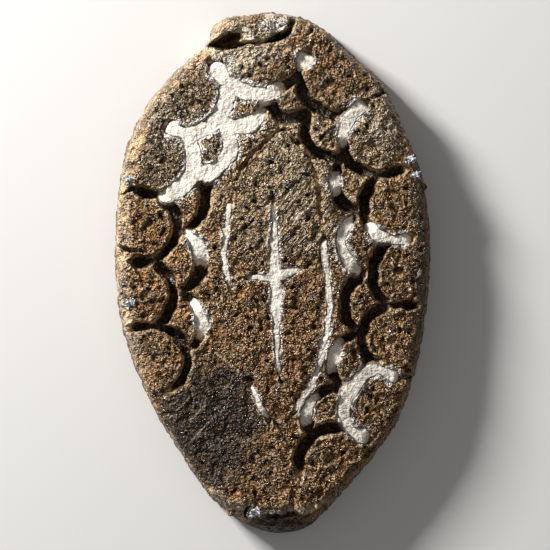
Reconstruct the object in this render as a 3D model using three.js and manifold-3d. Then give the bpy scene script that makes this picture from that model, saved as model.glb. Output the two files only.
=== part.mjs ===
// A medieval lead seal matrix: a pointed-oval cast plate with a cut face, the worn suspension lug at
// its head, the white chalky fill that lies in the cuts, and the soil and crystals that cling to it.
// Units are millimetres. +Z comes out of the cut face, +Y points to the lug, and the origin is in the
// plane of the back, under the middle of the plate's box.
import * as THREE from "three";
import { mergeVertices } from "three/addons/utils/BufferGeometryUtils.js";
import Module from "manifold-3d";

const wasm = await Module();
wasm.setup();

// Plate sizes
const LENGTH = 40;
const WIDTH = 24.2;
const RIM_HEIGHT = 3.7;
const CROWN = 0.8;
const BACK_CHAMFER = 0.5;
const SIDE_DRAFT = 0.25;
const SHOULDER = 1.0;
const FOOT_SHOULDER = 2.2;
const SHOULDER_DROP_SHARE = 0.85;

// Lug sizes
const JOINT_GAP = 0.12;
const EYE_LENGTH = 2.3;
const EYE_WIDTH = 1.15;
const EYE_TILT = THREE.MathUtils.degToRad(24);
const EYE_SOIL_DEPTH = 1.3;
const NOTCH_RADIUS = 0.42;

// Fits
const FILL_CLEARANCE = 0.05;
const GRAIN_CLEARANCE = 0.05;

// How a cut opens and closes along its length: share of the length, share of the width, share of the depth
const BLUNT = [[0, 0.45, 0.3], [0.1, 0.85, 0.8], [0.2, 1, 1], [0.8, 1, 1], [0.9, 0.85, 0.8], [1, 0.45, 0.3]];
const OPEN_ENDED = [[0, 0.8, 0.8], [0.2, 1, 1], [0.8, 1, 1], [1, 0.8, 0.8]];
const NAIL = [[0, 0.65, 0.4], [0.15, 0.95, 0.95], [1, 0.5, 0.65]];
const SPINDLE = [
  [0, 0.16, 0.35], [0.2, 0.36, 0.8], [0.33, 0.65, 0.93], [0.43, 1, 1], [0.55, 0.7, 0.93], [0.75, 0.38, 0.8],
  [1, 0.16, 0.35],
];
const TWO_POINTS = [[0, 0.2, 0.35], [0.25, 0.47, 0.8], [0.5, 1, 1], [0.75, 0.47, 0.8], [1, 0.2, 0.35]];

// Cut sizes: width at the face, depth, and how far the fill lies below the face
const SCALE_CUT = { width: 0.95, depth: 1.0, recess: 0.28, profile: OPEN_ENDED };
const DART_CUT = { width: 1.25, depth: 1.15, recess: 0.3, profile: NAIL };
const FIELD_LINE_CUT = { width: 0.52, depth: 0.5, recess: 0.1, profile: BLUNT };
const FIELD_HEAD_CUT = { width: 0.36, depth: 0.32, profile: BLUNT };
const STAR_SHAFT_CUT = { width: 1.15, depth: 0.9, recess: 0.18, profile: SPINDLE };
const STAR_ARM_CUT = { width: 0.95, depth: 0.75, recess: 0.18, profile: TWO_POINTS };
const CUT_FLOOR_SHARE = 0.55;
const CUT_RISE = 0.9;
const THROUGH_MARGIN = 1;

// Border of two rows of overlapping scales, with darts to the rim and a drilled pellet in each outer scale.
// Offsets run outwards from the middle of the band.
const BAND_SIDE_INSET = 3.75;
const BAND_END_INSET = 5.3;
const SCALE_COUNT = 12;
const BORDER_START_SHARE = 0.165;
const BORDER_END_SHARE = 0.945;
const INNER_SPRING = -0.85;
const OUTER_SPRING = 1.3;
const INNER_RISE = 1.95;
const OUTER_RISE = 2.2;
const HEAVY_MIDDLE_NUMBER = 4;
const HEAVY_REACH_COUNT = 2.2;
const HEAVY_EXTRA_SHARE = 0.28;
const DART_OUT = 2.75;
const DART_IN = 0.9;
const PELLET_RADIUS = 0.42;
const PELLET_DEPTH = 0.5;
const PELLET_FLOOR_SHARE = 0.6;
const PELLET_OFFSET = 1.25;
const HAND_SWAY_SHARE = 0.1;

// Where white still lies: scales and darts by number, and for part of one the stretch that it fills
const WHITE_FILLS = {
  upper_left: [
    ["inner", 3], ["inner", 4, 0, 0.8], ["outer", 3], ["outer", 4], ["outer", 5, 0, 0.75],
    ["dart", 3], ["dart", 4],
  ],
  left_scale: [["inner", 1, 0.55, 0.85]],
  left_foot_scale: [["inner", 0, 0.3, 0.62]],
  head_dart: [["dart", 5]],
  upper_right_dart: [["outer", 7, 0, 0.4], ["dart", 6]],
  upper_right_scale: [["inner", 7, 0.25, 0.6]],
  right_dart: [["outer", 8, 0.6, 1], ["dart", 8]],
  right_scale: [["inner", 8, 0.1, 0.9]],
  lower_right_scale: [["inner", 10, 0.25, 0.75]],
  lower_right_dart: [["outer", 11], ["dart", 10], ["dart", 11]],
  foot_scale: [["inner", 11, 0.35, 0.85]],
};

const OUTLINE_STEPS = 66;
const HALF_WIDTH = WIDTH / 2;
const HALF_LENGTH = LENGTH / 2;

// The outline, clockwise from the foot as seen from the face, in shares of the half width and half length
const OUTLINE = [
  [0.065, -1], [-0.14, -0.97], [-0.365, -0.875], [-0.575, -0.705], [-0.79, -0.48], [-0.94, -0.25],
  [-1, -0.005], [-0.985, 0.28], [-0.92, 0.495], [-0.765, 0.67], [-0.535, 0.82], [-0.42, 0.885],
  [-0.38, 0.945], [-0.3, 0.98], [-0.165, 0.99], [-0.03, 1], [0.17, 0.98], [0.36, 0.92], [0.535, 0.815],
  [0.69, 0.74], [0.775, 0.64], [0.875, 0.5], [0.955, 0.36], [0.998, 0.18], [1, 0.01], [0.975, -0.17],
  [0.905, -0.385], [0.8, -0.56], [0.61, -0.73], [0.385, -0.88], [0.235, -0.97],
];

// Points in shares of the half width and half length, because they lie on the plate's drawing
const JOINT_LINE = [
  [-0.44, 0.868], [-0.3, 0.862], [-0.17, 0.87], [-0.03, 0.877], [0.08, 0.905], [0.135, 0.955], [0.16, 1.02],
];
const EYE_CENTRE = [-0.285, 0.893];
const NOTCH_CENTRE = [-0.462, 0.89];

// Points in shares of the field's half width and half length, which the inner scales leave free
const STAR_SHAFT = [[-0.01, 0.54], [0.02, 0.175], [0.04, -0.03], [0.07, -0.35], [0.12, -0.735]];
const STAR_ARM = [[-0.51, -0.035], [0.04, -0.018], [0.58, 0.053]];
const FIELD_HEAD = [
  [-0.6, 0.578], [-0.33, 0.77], [-0.095, 0.875], [0.143, 0.954], [0.43, 0.84], [0.64, 0.665], [0.715, 0.48],
  [0.727, 0.33],
];
const FIELD_LINES = {
  left: [[-0.61, 0.525], [-0.68, 0.35], [-0.715, 0.175], [-0.69, 0], [-0.596, -0.14]],
  foot_left: [[-0.333, -0.7], [-0.238, -0.84], [-0.024, -1]],
  right: [[0.762, 0.28], [0.822, 0], [0.857, -0.21], [0.786, -0.455], [0.524, -0.787], [0.238, -0.97]],
};

// Grains that cling to the rim: share of the way round the outline, turn up the shoulder in degrees, radius
const GRAINS = [
  { name: "soil_grain_right_rim", share: 0.694, turn: 10, radius: 0.36, kind: "soil" },
  { name: "crystal_right_rim_upper", share: 0.671, turn: 45, radius: 0.4, kind: "crystal" },
  { name: "crystal_right_rim_lower", share: 0.684, turn: 50, radius: 0.3, kind: "crystal" },
  { name: "crystal_left_rim_upper", share: 0.321, turn: 70, radius: 0.38, kind: "crystal" },
  { name: "crystal_left_rim_lower", share: 0.225, turn: 75, radius: 0.4, kind: "crystal" },
  { name: "crystal_foot", share: 0.025, turn: 60, radius: 0.45, kind: "crystal" },
];
const GRAIN_STRETCH = [1, 1.25, 0.85];

const lead = new THREE.MeshStandardMaterial({ color: 0x6f5942, roughness: 0.62, metalness: 0.25 });
const whiteFill = new THREE.MeshStandardMaterial({ color: 0xe6e0d6, roughness: 0.95, metalness: 0 });
const soil = new THREE.MeshStandardMaterial({ color: 0x4a3524, roughness: 0.95, metalness: 0 });
const crystal = new THREE.MeshStandardMaterial({ color: 0xa9b6bf, roughness: 0.35, metalness: 0 });

/** A point given in shares of the half width and half length, as a flat vector in millimetres. */
function place([across, along]) {
  return new THREE.Vector2(across * HALF_WIDTH, along * HALF_LENGTH);
}

/** A point given in shares of the field's half width and half length, in millimetres. */
function placeInField([across, along]) {
  const border = INNER_RISE - INNER_SPRING + SCALE_CUT.width / 2;
  const halfWidth = HALF_WIDTH - BAND_SIDE_INSET - border;
  const halfLength = HALF_LENGTH - BAND_END_INSET - border;
  return new THREE.Vector2(across * halfWidth, along * halfLength);
}

/** A smooth flat curve through points. */
function curveThrough(points, closed = false) {
  const flat = points.map((p) => new THREE.Vector3(p.x, p.y, 0));
  return new THREE.CatmullRomCurve3(flat, closed, "centripetal");
}

/** The plate's outline as evenly spaced points whose box is exactly the width by the length. */
function outlinePoints() {
  const curve = curveThrough(OUTLINE.map(place), true);
  const raw = curve.getSpacedPoints(OUTLINE_STEPS).slice(0, OUTLINE_STEPS);
  const box = new THREE.Box3().setFromPoints(raw);
  const centre = box.getCenter(new THREE.Vector3());
  const size = box.getSize(new THREE.Vector3());
  return raw.map((p) => {
    const x = ((p.x - centre.x) * WIDTH) / size.x;
    const y = ((p.y - centre.y) * LENGTH) / size.y;
    return new THREE.Vector2(x, y);
  });
}

const outline = outlinePoints();

/** The unit vector that points into the plate at each outline point. */
const inward = outline.map((p, i) => {
  const before = outline[(i + OUTLINE_STEPS - 1) % OUTLINE_STEPS];
  const after = outline[(i + 1) % OUTLINE_STEPS];
  return new THREE.Vector2(after.y - before.y, before.x - after.x).normalize();
});

/** The height of the crowned face above the back at a point of the drawing. */
function faceHeight(x, y) {
  const away = (x / HALF_WIDTH) ** 2 + (y / HALF_LENGTH) ** 2;
  return RIM_HEIGHT + CROWN * Math.max(0, 1 - away);
}

/** The width of the rounded shoulder, which grows where the foot is worn down. */
function shoulderWidth(y) {
  const worn = THREE.MathUtils.smoothstep(-y / HALF_LENGTH, 0.82, 0.98);
  return THREE.MathUtils.lerp(SHOULDER, FOOT_SHOULDER, worn);
}

/** A closed body through rings of as many points each, capped flat at both ends. */
function loft(rings) {
  const sides = rings[0].length;
  const position = rings.flat().flatMap((p) => [p.x, p.y, p.z]);
  const index = [];
  for (let ring = 0; ring + 1 < rings.length; ring++) {
    for (let side = 0; side < sides; side++) {
      const next = (side + 1) % sides;
      const [a, b] = [ring * sides + side, ring * sides + next];
      index.push(a, b, b + sides, a, b + sides, a + sides);
    }
  }
  const lastRing = (rings.length - 1) * sides;
  for (let side = 1; side + 1 < sides; side++) {
    index.push(0, side + 1, side, lastRing, lastRing + side, lastRing + side + 1);
  }
  return solidOf(new Float32Array(position), new Uint32Array(index));
}

/** A solid from vertices and triangles, with its faces turned outwards. */
function solidOf(vertProperties, triVerts) {
  const turned = triVerts.slice();
  for (let i = 0; i < turned.length; i += 3) {
    [turned[i + 1], turned[i + 2]] = [triVerts[i + 2], triVerts[i + 1]];
  }
  const made = new wasm.Manifold(new wasm.Mesh({ numProp: 3, vertProperties, triVerts }));
  if (made.volume() > 0) return made;
  return new wasm.Manifold(new wasm.Mesh({ numProp: 3, vertProperties, triVerts: turned }));
}

/** A three.js geometry as a solid. */
function solidFrom(geometry) {
  const bare = geometry.clone();
  bare.deleteAttribute("normal");
  bare.deleteAttribute("uv");
  const merged = mergeVertices(bare, 1e-4);
  return solidOf(merged.attributes.position.array, new Uint32Array(merged.index.array));
}

/** A flat outline extruded up through the plate's whole height. */
function prism(points) {
  const depth = RIM_HEIGHT + CROWN + 2 * THROUGH_MARGIN;
  const geometry = new THREE.ExtrudeGeometry(new THREE.Shape(points), { depth, bevelEnabled: false });
  return solidFrom(geometry.translate(0, 0, -THROUGH_MARGIN));
}

/** A solid back into a named mesh. */
function meshOf(name, solid, material) {
  const made = solid.getMesh();
  const geometry = new THREE.BufferGeometry();
  geometry.setAttribute("position", new THREE.BufferAttribute(made.vertProperties, made.numProp));
  geometry.setIndex(new THREE.BufferAttribute(made.triVerts, 1));
  geometry.computeVertexNormals();
  const mesh = new THREE.Mesh(geometry, material);
  mesh.name = name;
  return mesh;
}

/** A point on the rounded shoulder, a number of outline steps round and a turn up it in degrees. */
function shoulderPoint(number, turn) {
  const before = Math.floor(number);
  const after = (before + 1) % OUTLINE_STEPS;
  const p = outline[before].clone().lerp(outline[after], number - before);
  const angle = THREE.MathUtils.degToRad(turn);
  const wide = shoulderWidth(p.y);
  const at = p.clone().addScaledVector(inward[before], SIDE_DRAFT + wide * (1 - Math.cos(angle)));
  const drop = SHOULDER_DROP_SHARE * wide * (1 - Math.sin(angle));
  return new THREE.Vector3(at.x, at.y, faceHeight(at.x, at.y) - drop);
}

/** One ring of the plate's back: the outline drawn in by an amount, at a height. */
function backRing(inset, height) {
  return outline.map((p, i) => {
    const at = p.clone().addScaledVector(inward[i], inset);
    return new THREE.Vector3(at.x, at.y, height);
  });
}

/** The whole casting before anything is cut: back, drafted side, rounded shoulder and crowned face. */
function casting() {
  const shoulder = [0, 30, 60, 90].map((turn) => outline.map((_, i) => shoulderPoint(i, turn)));
  const rim = shoulder[shoulder.length - 1];
  const face = [0.72, 0.4, 0.1].map((share) => rim.map((p) => {
    const [x, y] = [p.x * share, p.y * share];
    return new THREE.Vector3(x, y, faceHeight(x, y));
  }));
  return loft([backRing(BACK_CHAMFER, 0), backRing(0, BACK_CHAMFER), ...shoulder, ...face]);
}

/** The shares of a cut's width and depth at a share of its length. */
function sharesAt(profile, t) {
  const after = profile.findIndex((row) => row[0] >= t && row[0] > 0);
  const [from, to] = [profile[after - 1], profile[after]];
  const between = (t - from[0]) / (to[0] - from[0]);
  return [1, 2].map((column) => THREE.MathUtils.lerp(from[column], to[column], between));
}

/** Stations along a cut: where it is, which way is across, half its width and its depth there. */
function stationsAlong(curve, cut, steps) {
  const stations = [];
  for (let i = 0; i <= steps; i++) {
    const at = curve.getPointAt(i / steps);
    const along = curve.getTangentAt(i / steps);
    const [wide, deep] = sharesAt(cut.profile, i / steps);
    const across = new THREE.Vector2(along.y, -along.x);
    stations.push({ at, across, half: (cut.width / 2) * wide, depth: cut.depth * deep });
  }
  return stations;
}

/** One cross-section of a cut or its fill, from offsets across and heights over the face. */
function section({ at, across }, corners) {
  const face = faceHeight(at.x, at.y);
  return corners.map(([side, up]) =>
    new THREE.Vector3(at.x + across.x * side, at.y + across.y * side, face + up));
}

/** The tool that makes a cut: sloping walls, which run on above the face, to a narrower flat floor. */
function cutter(stations) {
  return loft(stations.map((s) => {
    const floor = s.half * CUT_FLOOR_SHARE;
    const top = s.half + ((s.half - floor) * CUT_RISE) / s.depth;
    return section(s, [[-top, CUT_RISE], [-floor, -s.depth], [floor, -s.depth], [top, CUT_RISE]]);
  }));
}

/** What lies in a cut, up to the recess below the face, clear of the walls and floor. */
function fillIn(stations, recess) {
  const held = stations.filter((s) => s.depth > recess + 3 * FILL_CLEARANCE && s.half > 2.5 * FILL_CLEARANCE);
  return loft(held.map((s) => {
    const narrowing = (1 - CUT_FLOOR_SHARE) * s.half;
    const level = s.half - (narrowing * recess) / s.depth - FILL_CLEARANCE;
    const floor = s.half * CUT_FLOOR_SHARE - FILL_CLEARANCE;
    const bottom = FILL_CLEARANCE - s.depth;
    return section(s, [[-level, -recess], [-floor, bottom], [floor, bottom], [level, -recess]]);
  }));
}

const band = new THREE.EllipseCurve(
  0, 0, HALF_WIDTH - BAND_SIDE_INSET, HALF_LENGTH - BAND_END_INSET, -Math.PI / 2, (-5 * Math.PI) / 2, true,
);

/** A point of the band, a number of scales along it, moved outwards by an offset. */
function bandPoint(number, offset) {
  const share = BORDER_START_SHARE + ((BORDER_END_SHARE - BORDER_START_SHARE) * number) / SCALE_COUNT;
  const at = band.getPointAt(share);
  const round = band.getTangentAt(share);
  return at.addScaledVector(new THREE.Vector2(-round.y, round.x), offset);
}

/** A small unevenness, as of a hand with a graver, that differs from cut to cut. */
function sway(number) {
  return HAND_SWAY_SHARE * Math.sin(3.7 * number + 2);
}

/** A cut as it is made at a place on the border: heavier towards the head's left. */
function weighted(cut, number) {
  const extra = HEAVY_EXTRA_SHARE * Math.exp(-(((number - HEAVY_MIDDLE_NUMBER) / HEAVY_REACH_COUNT) ** 2));
  return { ...cut, width: cut.width * (1 + extra) };
}

/** The stations of one scale: a half round that bulges to the field, about a middle on the band. */
function scaleStations(middle, spring, rise) {
  const points = [];
  for (let turn = 0; turn <= 180; turn += 30) {
    const angle = THREE.MathUtils.degToRad(turn);
    const offset = spring - rise * (1 + sway(middle)) * Math.sin(angle);
    points.push(bandPoint(middle - 0.5 * Math.cos(angle), offset));
  }
  return stationsAlong(curveThrough(points), weighted(SCALE_CUT, middle), 9);
}

/** The stations of one dart, from its head by the rim to where two outer scales meet. */
function dartStations(number) {
  const outer = bandPoint(number + 0.5 + 0.4 * sway(number), DART_OUT * (1 + sway(number + 3)));
  const line = curveThrough([outer, bandPoint(number + 0.5, DART_IN)]);
  return stationsAlong(line, weighted(DART_CUT, number), 4);
}

/** The kinds of cut in the border, with how many there are of each and how to place one. */
const BORDER_KINDS = {
  inner: {
    count: SCALE_COUNT,
    stationsOf: (number) => scaleStations(number + 0.5, INNER_SPRING, INNER_RISE),
    recess: SCALE_CUT.recess,
  },
  outer: {
    count: SCALE_COUNT + 1,
    stationsOf: (number) => scaleStations(number, OUTER_SPRING, OUTER_RISE),
    recess: SCALE_CUT.recess,
  },
  dart: { count: SCALE_COUNT, stationsOf: dartStations, recess: DART_CUT.recess },
};

/** The stations of every cut in the border. */
function borderCuts() {
  return Object.values(BORDER_KINDS).flatMap(({ count, stationsOf }) =>
    Array.from({ length: count }, (_, number) => stationsOf(number)));
}

/** What lies in the border's cuts under one name, as one body. */
function borderFill(stretches) {
  return joined(stretches.map(([kind, number, from = 0, to = 1]) => {
    const { stationsOf, recess } = BORDER_KINDS[kind];
    const stations = stationsOf(number);
    const last = stations.length - 1;
    return fillIn(stations.filter((_, i) => i >= from * last && i <= to * last), recess);
  }));
}

/** The drill that makes the pellet in an outer scale. */
function pelletDrill(number) {
  const at = bandPoint(number + 0.3 * sway(number), PELLET_OFFSET);
  const floor = PELLET_RADIUS * PELLET_FLOOR_SHARE;
  const above = 2 * PELLET_RADIUS - floor;
  const geometry = new THREE.CylinderGeometry(above, floor, 2 * PELLET_DEPTH, 9);
  return solidFrom(geometry.rotateX(Math.PI / 2).translate(at.x, at.y, faceHeight(at.x, at.y)));
}

/** The long shaft and the short arm that cross to make the star. */
function starCuts() {
  const shaft = stationsAlong(curveThrough(STAR_SHAFT.map(placeInField)), STAR_SHAFT_CUT, 12);
  const arm = stationsAlong(curveThrough(STAR_ARM.map(placeInField)), STAR_ARM_CUT, 10);
  return [
    { stations: shaft, recess: STAR_SHAFT_CUT.recess },
    { stations: arm, recess: STAR_ARM_CUT.recess },
  ];
}

/** The lines that frame the pointed field round the star. */
function fieldCuts() {
  return Object.entries(FIELD_LINES).map(([name, points]) => ({
    named: `white_fill_field_${name}`,
    stations: stationsAlong(curveThrough(points.map(placeInField)), FIELD_LINE_CUT, 8),
    recess: FIELD_LINE_CUT.recess,
  }));
}

/** All the solids added together. */
function joined(solids) {
  return solids.reduce((sum, solid) => sum.add(solid));
}

/** All that lies above the joint line, moved up off it by a shift. */
function aboveJoint(shift) {
  const curve = curveThrough(JOINT_LINE.map(place));
  const line = Array.from({ length: 13 }, (_, i) => {
    const along = curve.getTangentAt(i / 12);
    return curve.getPointAt(i / 12).add(new THREE.Vector3(-along.y, along.x, 0).multiplyScalar(shift));
  });
  const [left, right] = [line[0].x - WIDTH, line[12].x];
  const beyond = [[right, LENGTH], [left, LENGTH], [left, line[0].y]].map((p) => new THREE.Vector2(...p));
  return prism([...line.map((p) => new THREE.Vector2(p.x, p.y)), ...beyond]);
}

/** An upright rod of oval section through the whole plate. */
function ovalRod(centre, length, width, tilt, bottom, top) {
  const geometry = new THREE.CylinderGeometry(0.5, 0.5, top - bottom, 20);
  geometry.rotateX(Math.PI / 2).scale(length, width, 1).rotateZ(tilt);
  return solidFrom(geometry.translate(centre.x, centre.y, (top + bottom) / 2));
}

/** A rough grain or crystal, half sunk in the shoulder: a stretched icosahedron, grown by an amount. */
function grainSolid({ share, turn, radius }, grow) {
  const centre = shoulderPoint(share * OUTLINE_STEPS, turn);
  const geometry = new THREE.IcosahedronGeometry(radius + grow, 0);
  geometry.scale(...GRAIN_STRETCH).rotateZ(share * 2 * Math.PI).rotateX(THREE.MathUtils.degToRad(turn));
  return solidFrom(geometry.translate(centre.x, centre.y, centre.z));
}

const whole = casting();
const through = [-THROUGH_MARGIN, RIM_HEIGHT + CROWN + THROUGH_MARGIN];
const eyeCentre = place(EYE_CENTRE);
const eye = ovalRod(eyeCentre, EYE_LENGTH, EYE_WIDTH, EYE_TILT, ...through);
const notch = ovalRod(place(NOTCH_CENTRE), 2 * NOTCH_RADIUS, 2 * NOTCH_RADIUS, 0, ...through);

const star = starCuts();
const field = fieldCuts();
const fieldHead = stationsAlong(curveThrough(FIELD_HEAD.map(placeInField)), FIELD_HEAD_CUT, 14);
const filled = [...star, ...field].map((cut) => cut.stations);
const cutters = [...borderCuts(), ...filled, fieldHead].map(cutter);
const drills = Array.from({ length: SCALE_COUNT + 1 }, (_, number) => pelletDrill(number));
const sockets = GRAINS.map((grain) => grainSolid(grain, GRAIN_CLEARANCE));
const removed = joined([...cutters, ...drills, ...sockets, eye, notch]);

const plate = whole.subtract(aboveJoint(-JOINT_GAP / 2)).subtract(removed);
const lug = whole.intersect(aboveJoint(JOINT_GAP / 2)).subtract(removed);
const soilPlug = ovalRod(
  eyeCentre,
  EYE_LENGTH - 2 * FILL_CLEARANCE,
  EYE_WIDTH - 2 * FILL_CLEARANCE,
  EYE_TILT,
  BACK_CHAMFER,
  RIM_HEIGHT - EYE_SOIL_DEPTH,
);

const sealMatrix = new THREE.Group();
sealMatrix.name = "seal_matrix";
sealMatrix.add(meshOf("matrix_plate", plate, lead));
sealMatrix.add(meshOf("suspension_lug", lug, lead));
sealMatrix.add(meshOf("soil_plug_in_eye", soilPlug, soil));
sealMatrix.add(meshOf("white_fill_star", joined(star.map((c) => fillIn(c.stations, c.recess))), whiteFill));
for (const [name, stretches] of Object.entries(WHITE_FILLS)) {
  sealMatrix.add(meshOf(`white_fill_${name}`, borderFill(stretches), whiteFill));
}
for (const cut of field) {
  sealMatrix.add(meshOf(cut.named, fillIn(cut.stations, cut.recess), whiteFill));
}
for (const grain of GRAINS) {
  sealMatrix.add(meshOf(grain.name, grainSolid(grain, 0), grain.kind === "soil" ? soil : crystal));
}

export default sealMatrix;
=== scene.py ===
"""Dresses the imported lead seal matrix: worn cut metal, chalky white in the cuts, soil and crystals.

Shapes are worked out in millimetres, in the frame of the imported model, and written in metres.
"""

from __future__ import annotations

import logging
import math
import sys
from collections.abc import Callable, Iterable, Sequence
from dataclasses import dataclass
from enum import Enum, IntEnum
from typing import ClassVar

import bmesh
import bpy
import numpy as np
from mathutils import Matrix, Vector, kdtree, noise

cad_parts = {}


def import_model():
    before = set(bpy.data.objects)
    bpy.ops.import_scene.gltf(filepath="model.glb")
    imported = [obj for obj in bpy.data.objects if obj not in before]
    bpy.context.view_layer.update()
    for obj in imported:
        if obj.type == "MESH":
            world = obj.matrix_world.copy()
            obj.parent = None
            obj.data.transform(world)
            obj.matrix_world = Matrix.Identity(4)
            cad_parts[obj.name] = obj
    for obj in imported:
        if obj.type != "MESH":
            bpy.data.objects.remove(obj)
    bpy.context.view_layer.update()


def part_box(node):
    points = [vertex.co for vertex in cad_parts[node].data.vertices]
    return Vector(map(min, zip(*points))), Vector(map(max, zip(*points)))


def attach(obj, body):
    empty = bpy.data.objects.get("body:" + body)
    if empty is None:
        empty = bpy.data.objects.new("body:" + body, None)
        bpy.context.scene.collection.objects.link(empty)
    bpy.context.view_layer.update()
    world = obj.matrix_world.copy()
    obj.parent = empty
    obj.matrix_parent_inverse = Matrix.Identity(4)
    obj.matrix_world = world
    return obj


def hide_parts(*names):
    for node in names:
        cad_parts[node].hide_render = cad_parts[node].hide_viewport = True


LOG = logging.getLogger("seal_matrix")
MM = 0.001

# Millimetres
FAR_FROM_CUTS = 3.0
CUT_MARGIN = 1.6

# Degrees
FILE_TURN = 52.0

CURVE_STEPS = 24
FIELD_STEP = (37.1, 11.7, 5.3)
CRYSTAL_PLACES = ("right_rim_upper", "right_rim_lower", "left_rim_upper", "left_rim_lower", "foot")

Colour = tuple[float, ...]
Height = Callable[[np.ndarray, np.ndarray], np.ndarray]
Shares = tuple[tuple[float, float], ...]

# Shares of a cut's length, width and depth
Profile = tuple[tuple[float, float, float], ...]

# The wavelength and the height of each layer of unevenness, in millimetres
Layers = tuple[tuple[float, float], ...]

# The middle, the reach each way and the strength of a patch of tone
Patch = tuple[float, float, float, float, float]


class Field(IntEnum):
    """The fields of noise, by how many steps off the middle each is read."""

    EDGE_WOBBLE = 1
    BURR_WOBBLE = 3
    JOINT = 7
    CUT_WIDTH = 9
    CUT_DEPTH = 10
    FOOT_EDGE = 11
    FILE_MARKS = 13
    FILE_ZONE = 14
    WORN_RIM = 16
    SKIN = 20
    PITS = 31
    CRUMBS = 33
    BURRS = 35
    POWDER = 41
    PLUG = 51
    TONES = 61
    SOIL_GRAIN = 61
    CRYSTALS = 71


def smooth_share(start: float, end: float, value: np.ndarray) -> np.ndarray:
    """Rises smoothly from 0 at start to 1 at end.

    Args:
        start: Value at which the share leaves 0.
        end: Value at which the share reaches 1.
        value: Values to turn into shares.

    Returns:
        One share for each value.
    """
    share = np.clip((value - start) / (end - start), 0.0, 1.0)
    return share * share * (3.0 - 2.0 * share)


def unevenness(points: np.ndarray, wavelength: float, seed: int) -> np.ndarray:
    """Smooth noise between about -1 and 1 at points in space.

    Args:
        points: Rows of x, y and z in millimetres.
        wavelength: Size of the lumps in millimetres.
        seed: Which of many unlike fields to read.

    Returns:
        One value for each point.
    """
    moved = points / wavelength + [step * seed for step in FIELD_STEP]
    return np.array([noise.noise(p) for p in moved.tolist()])


def layered(points: np.ndarray, layers: Layers, first: int) -> np.ndarray:
    """The sum of some layers of unevenness.

    Args:
        points: Rows of x, y and z in millimetres.
        layers: The wavelength and the height of each layer.
        first: The field of the first layer; each further layer reads the next one.

    Returns:
        One height for each point.
    """
    return sum(
        height * unevenness(points, wavelength, first + number)
        for number, (wavelength, height) in enumerate(layers)
    )


def levelled(points: np.ndarray) -> np.ndarray:
    """Flat places, or the places under points in space, as points at height zero."""
    return np.column_stack([points[:, :2], np.zeros(len(points))])


def run_along(line: np.ndarray) -> np.ndarray:
    """How far along a flat line each of its points lies."""
    return np.concatenate([[0.0], np.cumsum(np.linalg.norm(np.diff(line, axis=0), axis=1))])


def smooth_line(points: Sequence[Sequence[float]], count: int, closed: bool = False) -> np.ndarray:
    """A centripetal curve through flat points.

    Args:
        points: The points that the curve goes through.
        count: How many evenly spaced points to return.
        closed: Whether the curve runs back to its first point.

    Returns:
        Rows of x and y, without a repeated last point where the curve is closed.
    """
    given = np.asarray(points, float)
    if closed:
        padded = np.vstack([given[-1], given, given[:2]])
    else:
        padded = np.vstack([2 * given[0] - given[1], given, 2 * given[-1] - given[-2]])
    t = np.linspace(0.0, 1.0, CURVE_STEPS, endpoint=False)[:, None]
    pieces = []
    for before, start, end, after in zip(padded, padded[1:], padded[2:], padded[3:]):
        first, middle, last = (
            math.sqrt(np.linalg.norm(b - a)) for a, b in ((before, start), (start, end), (end, after))
        )
        chord = end - start
        leave = chord + middle * ((start - before) / first - (end - before) / (first + middle))
        arrive = chord + middle * ((after - end) / last - (after - start) / (middle + last))
        pieces.append(
            (2 * t**3 - 3 * t**2 + 1) * start
            + (t**3 - 2 * t**2 + t) * leave
            + (3 * t**2 - 2 * t**3) * end
            + (t**3 - t**2) * arrive
        )
    fine = np.vstack([*pieces, padded[-2]])
    run = run_along(fine)
    even = np.linspace(0.0, run[-1], count + 1 if closed else count)
    line = np.column_stack([np.interp(even, run, fine[:, axis]) for axis in (0, 1)])
    return line[:-1] if closed else line


def across(line: np.ndarray, closed: bool = False) -> np.ndarray:
    """Unit vectors to the right of a flat line at each of its points.

    Args:
        line: Rows of x and y.
        closed: Whether the line runs back to its first point.

    Returns:
        Rows of x and y, one for each point.
    """
    if closed:
        along = np.roll(line, -1, axis=0) - np.roll(line, 1, axis=0)
    else:
        along = np.gradient(line, axis=0)
    along /= np.linalg.norm(along, axis=1)[:, None]
    return np.column_stack([along[:, 1], -along[:, 0]])


@dataclass(frozen=True)
class Cut:
    """The section of one kind of cut in millimetres, and how it opens and closes along its length."""

    width: float
    depth: float
    recess: float
    profile: Profile


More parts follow.
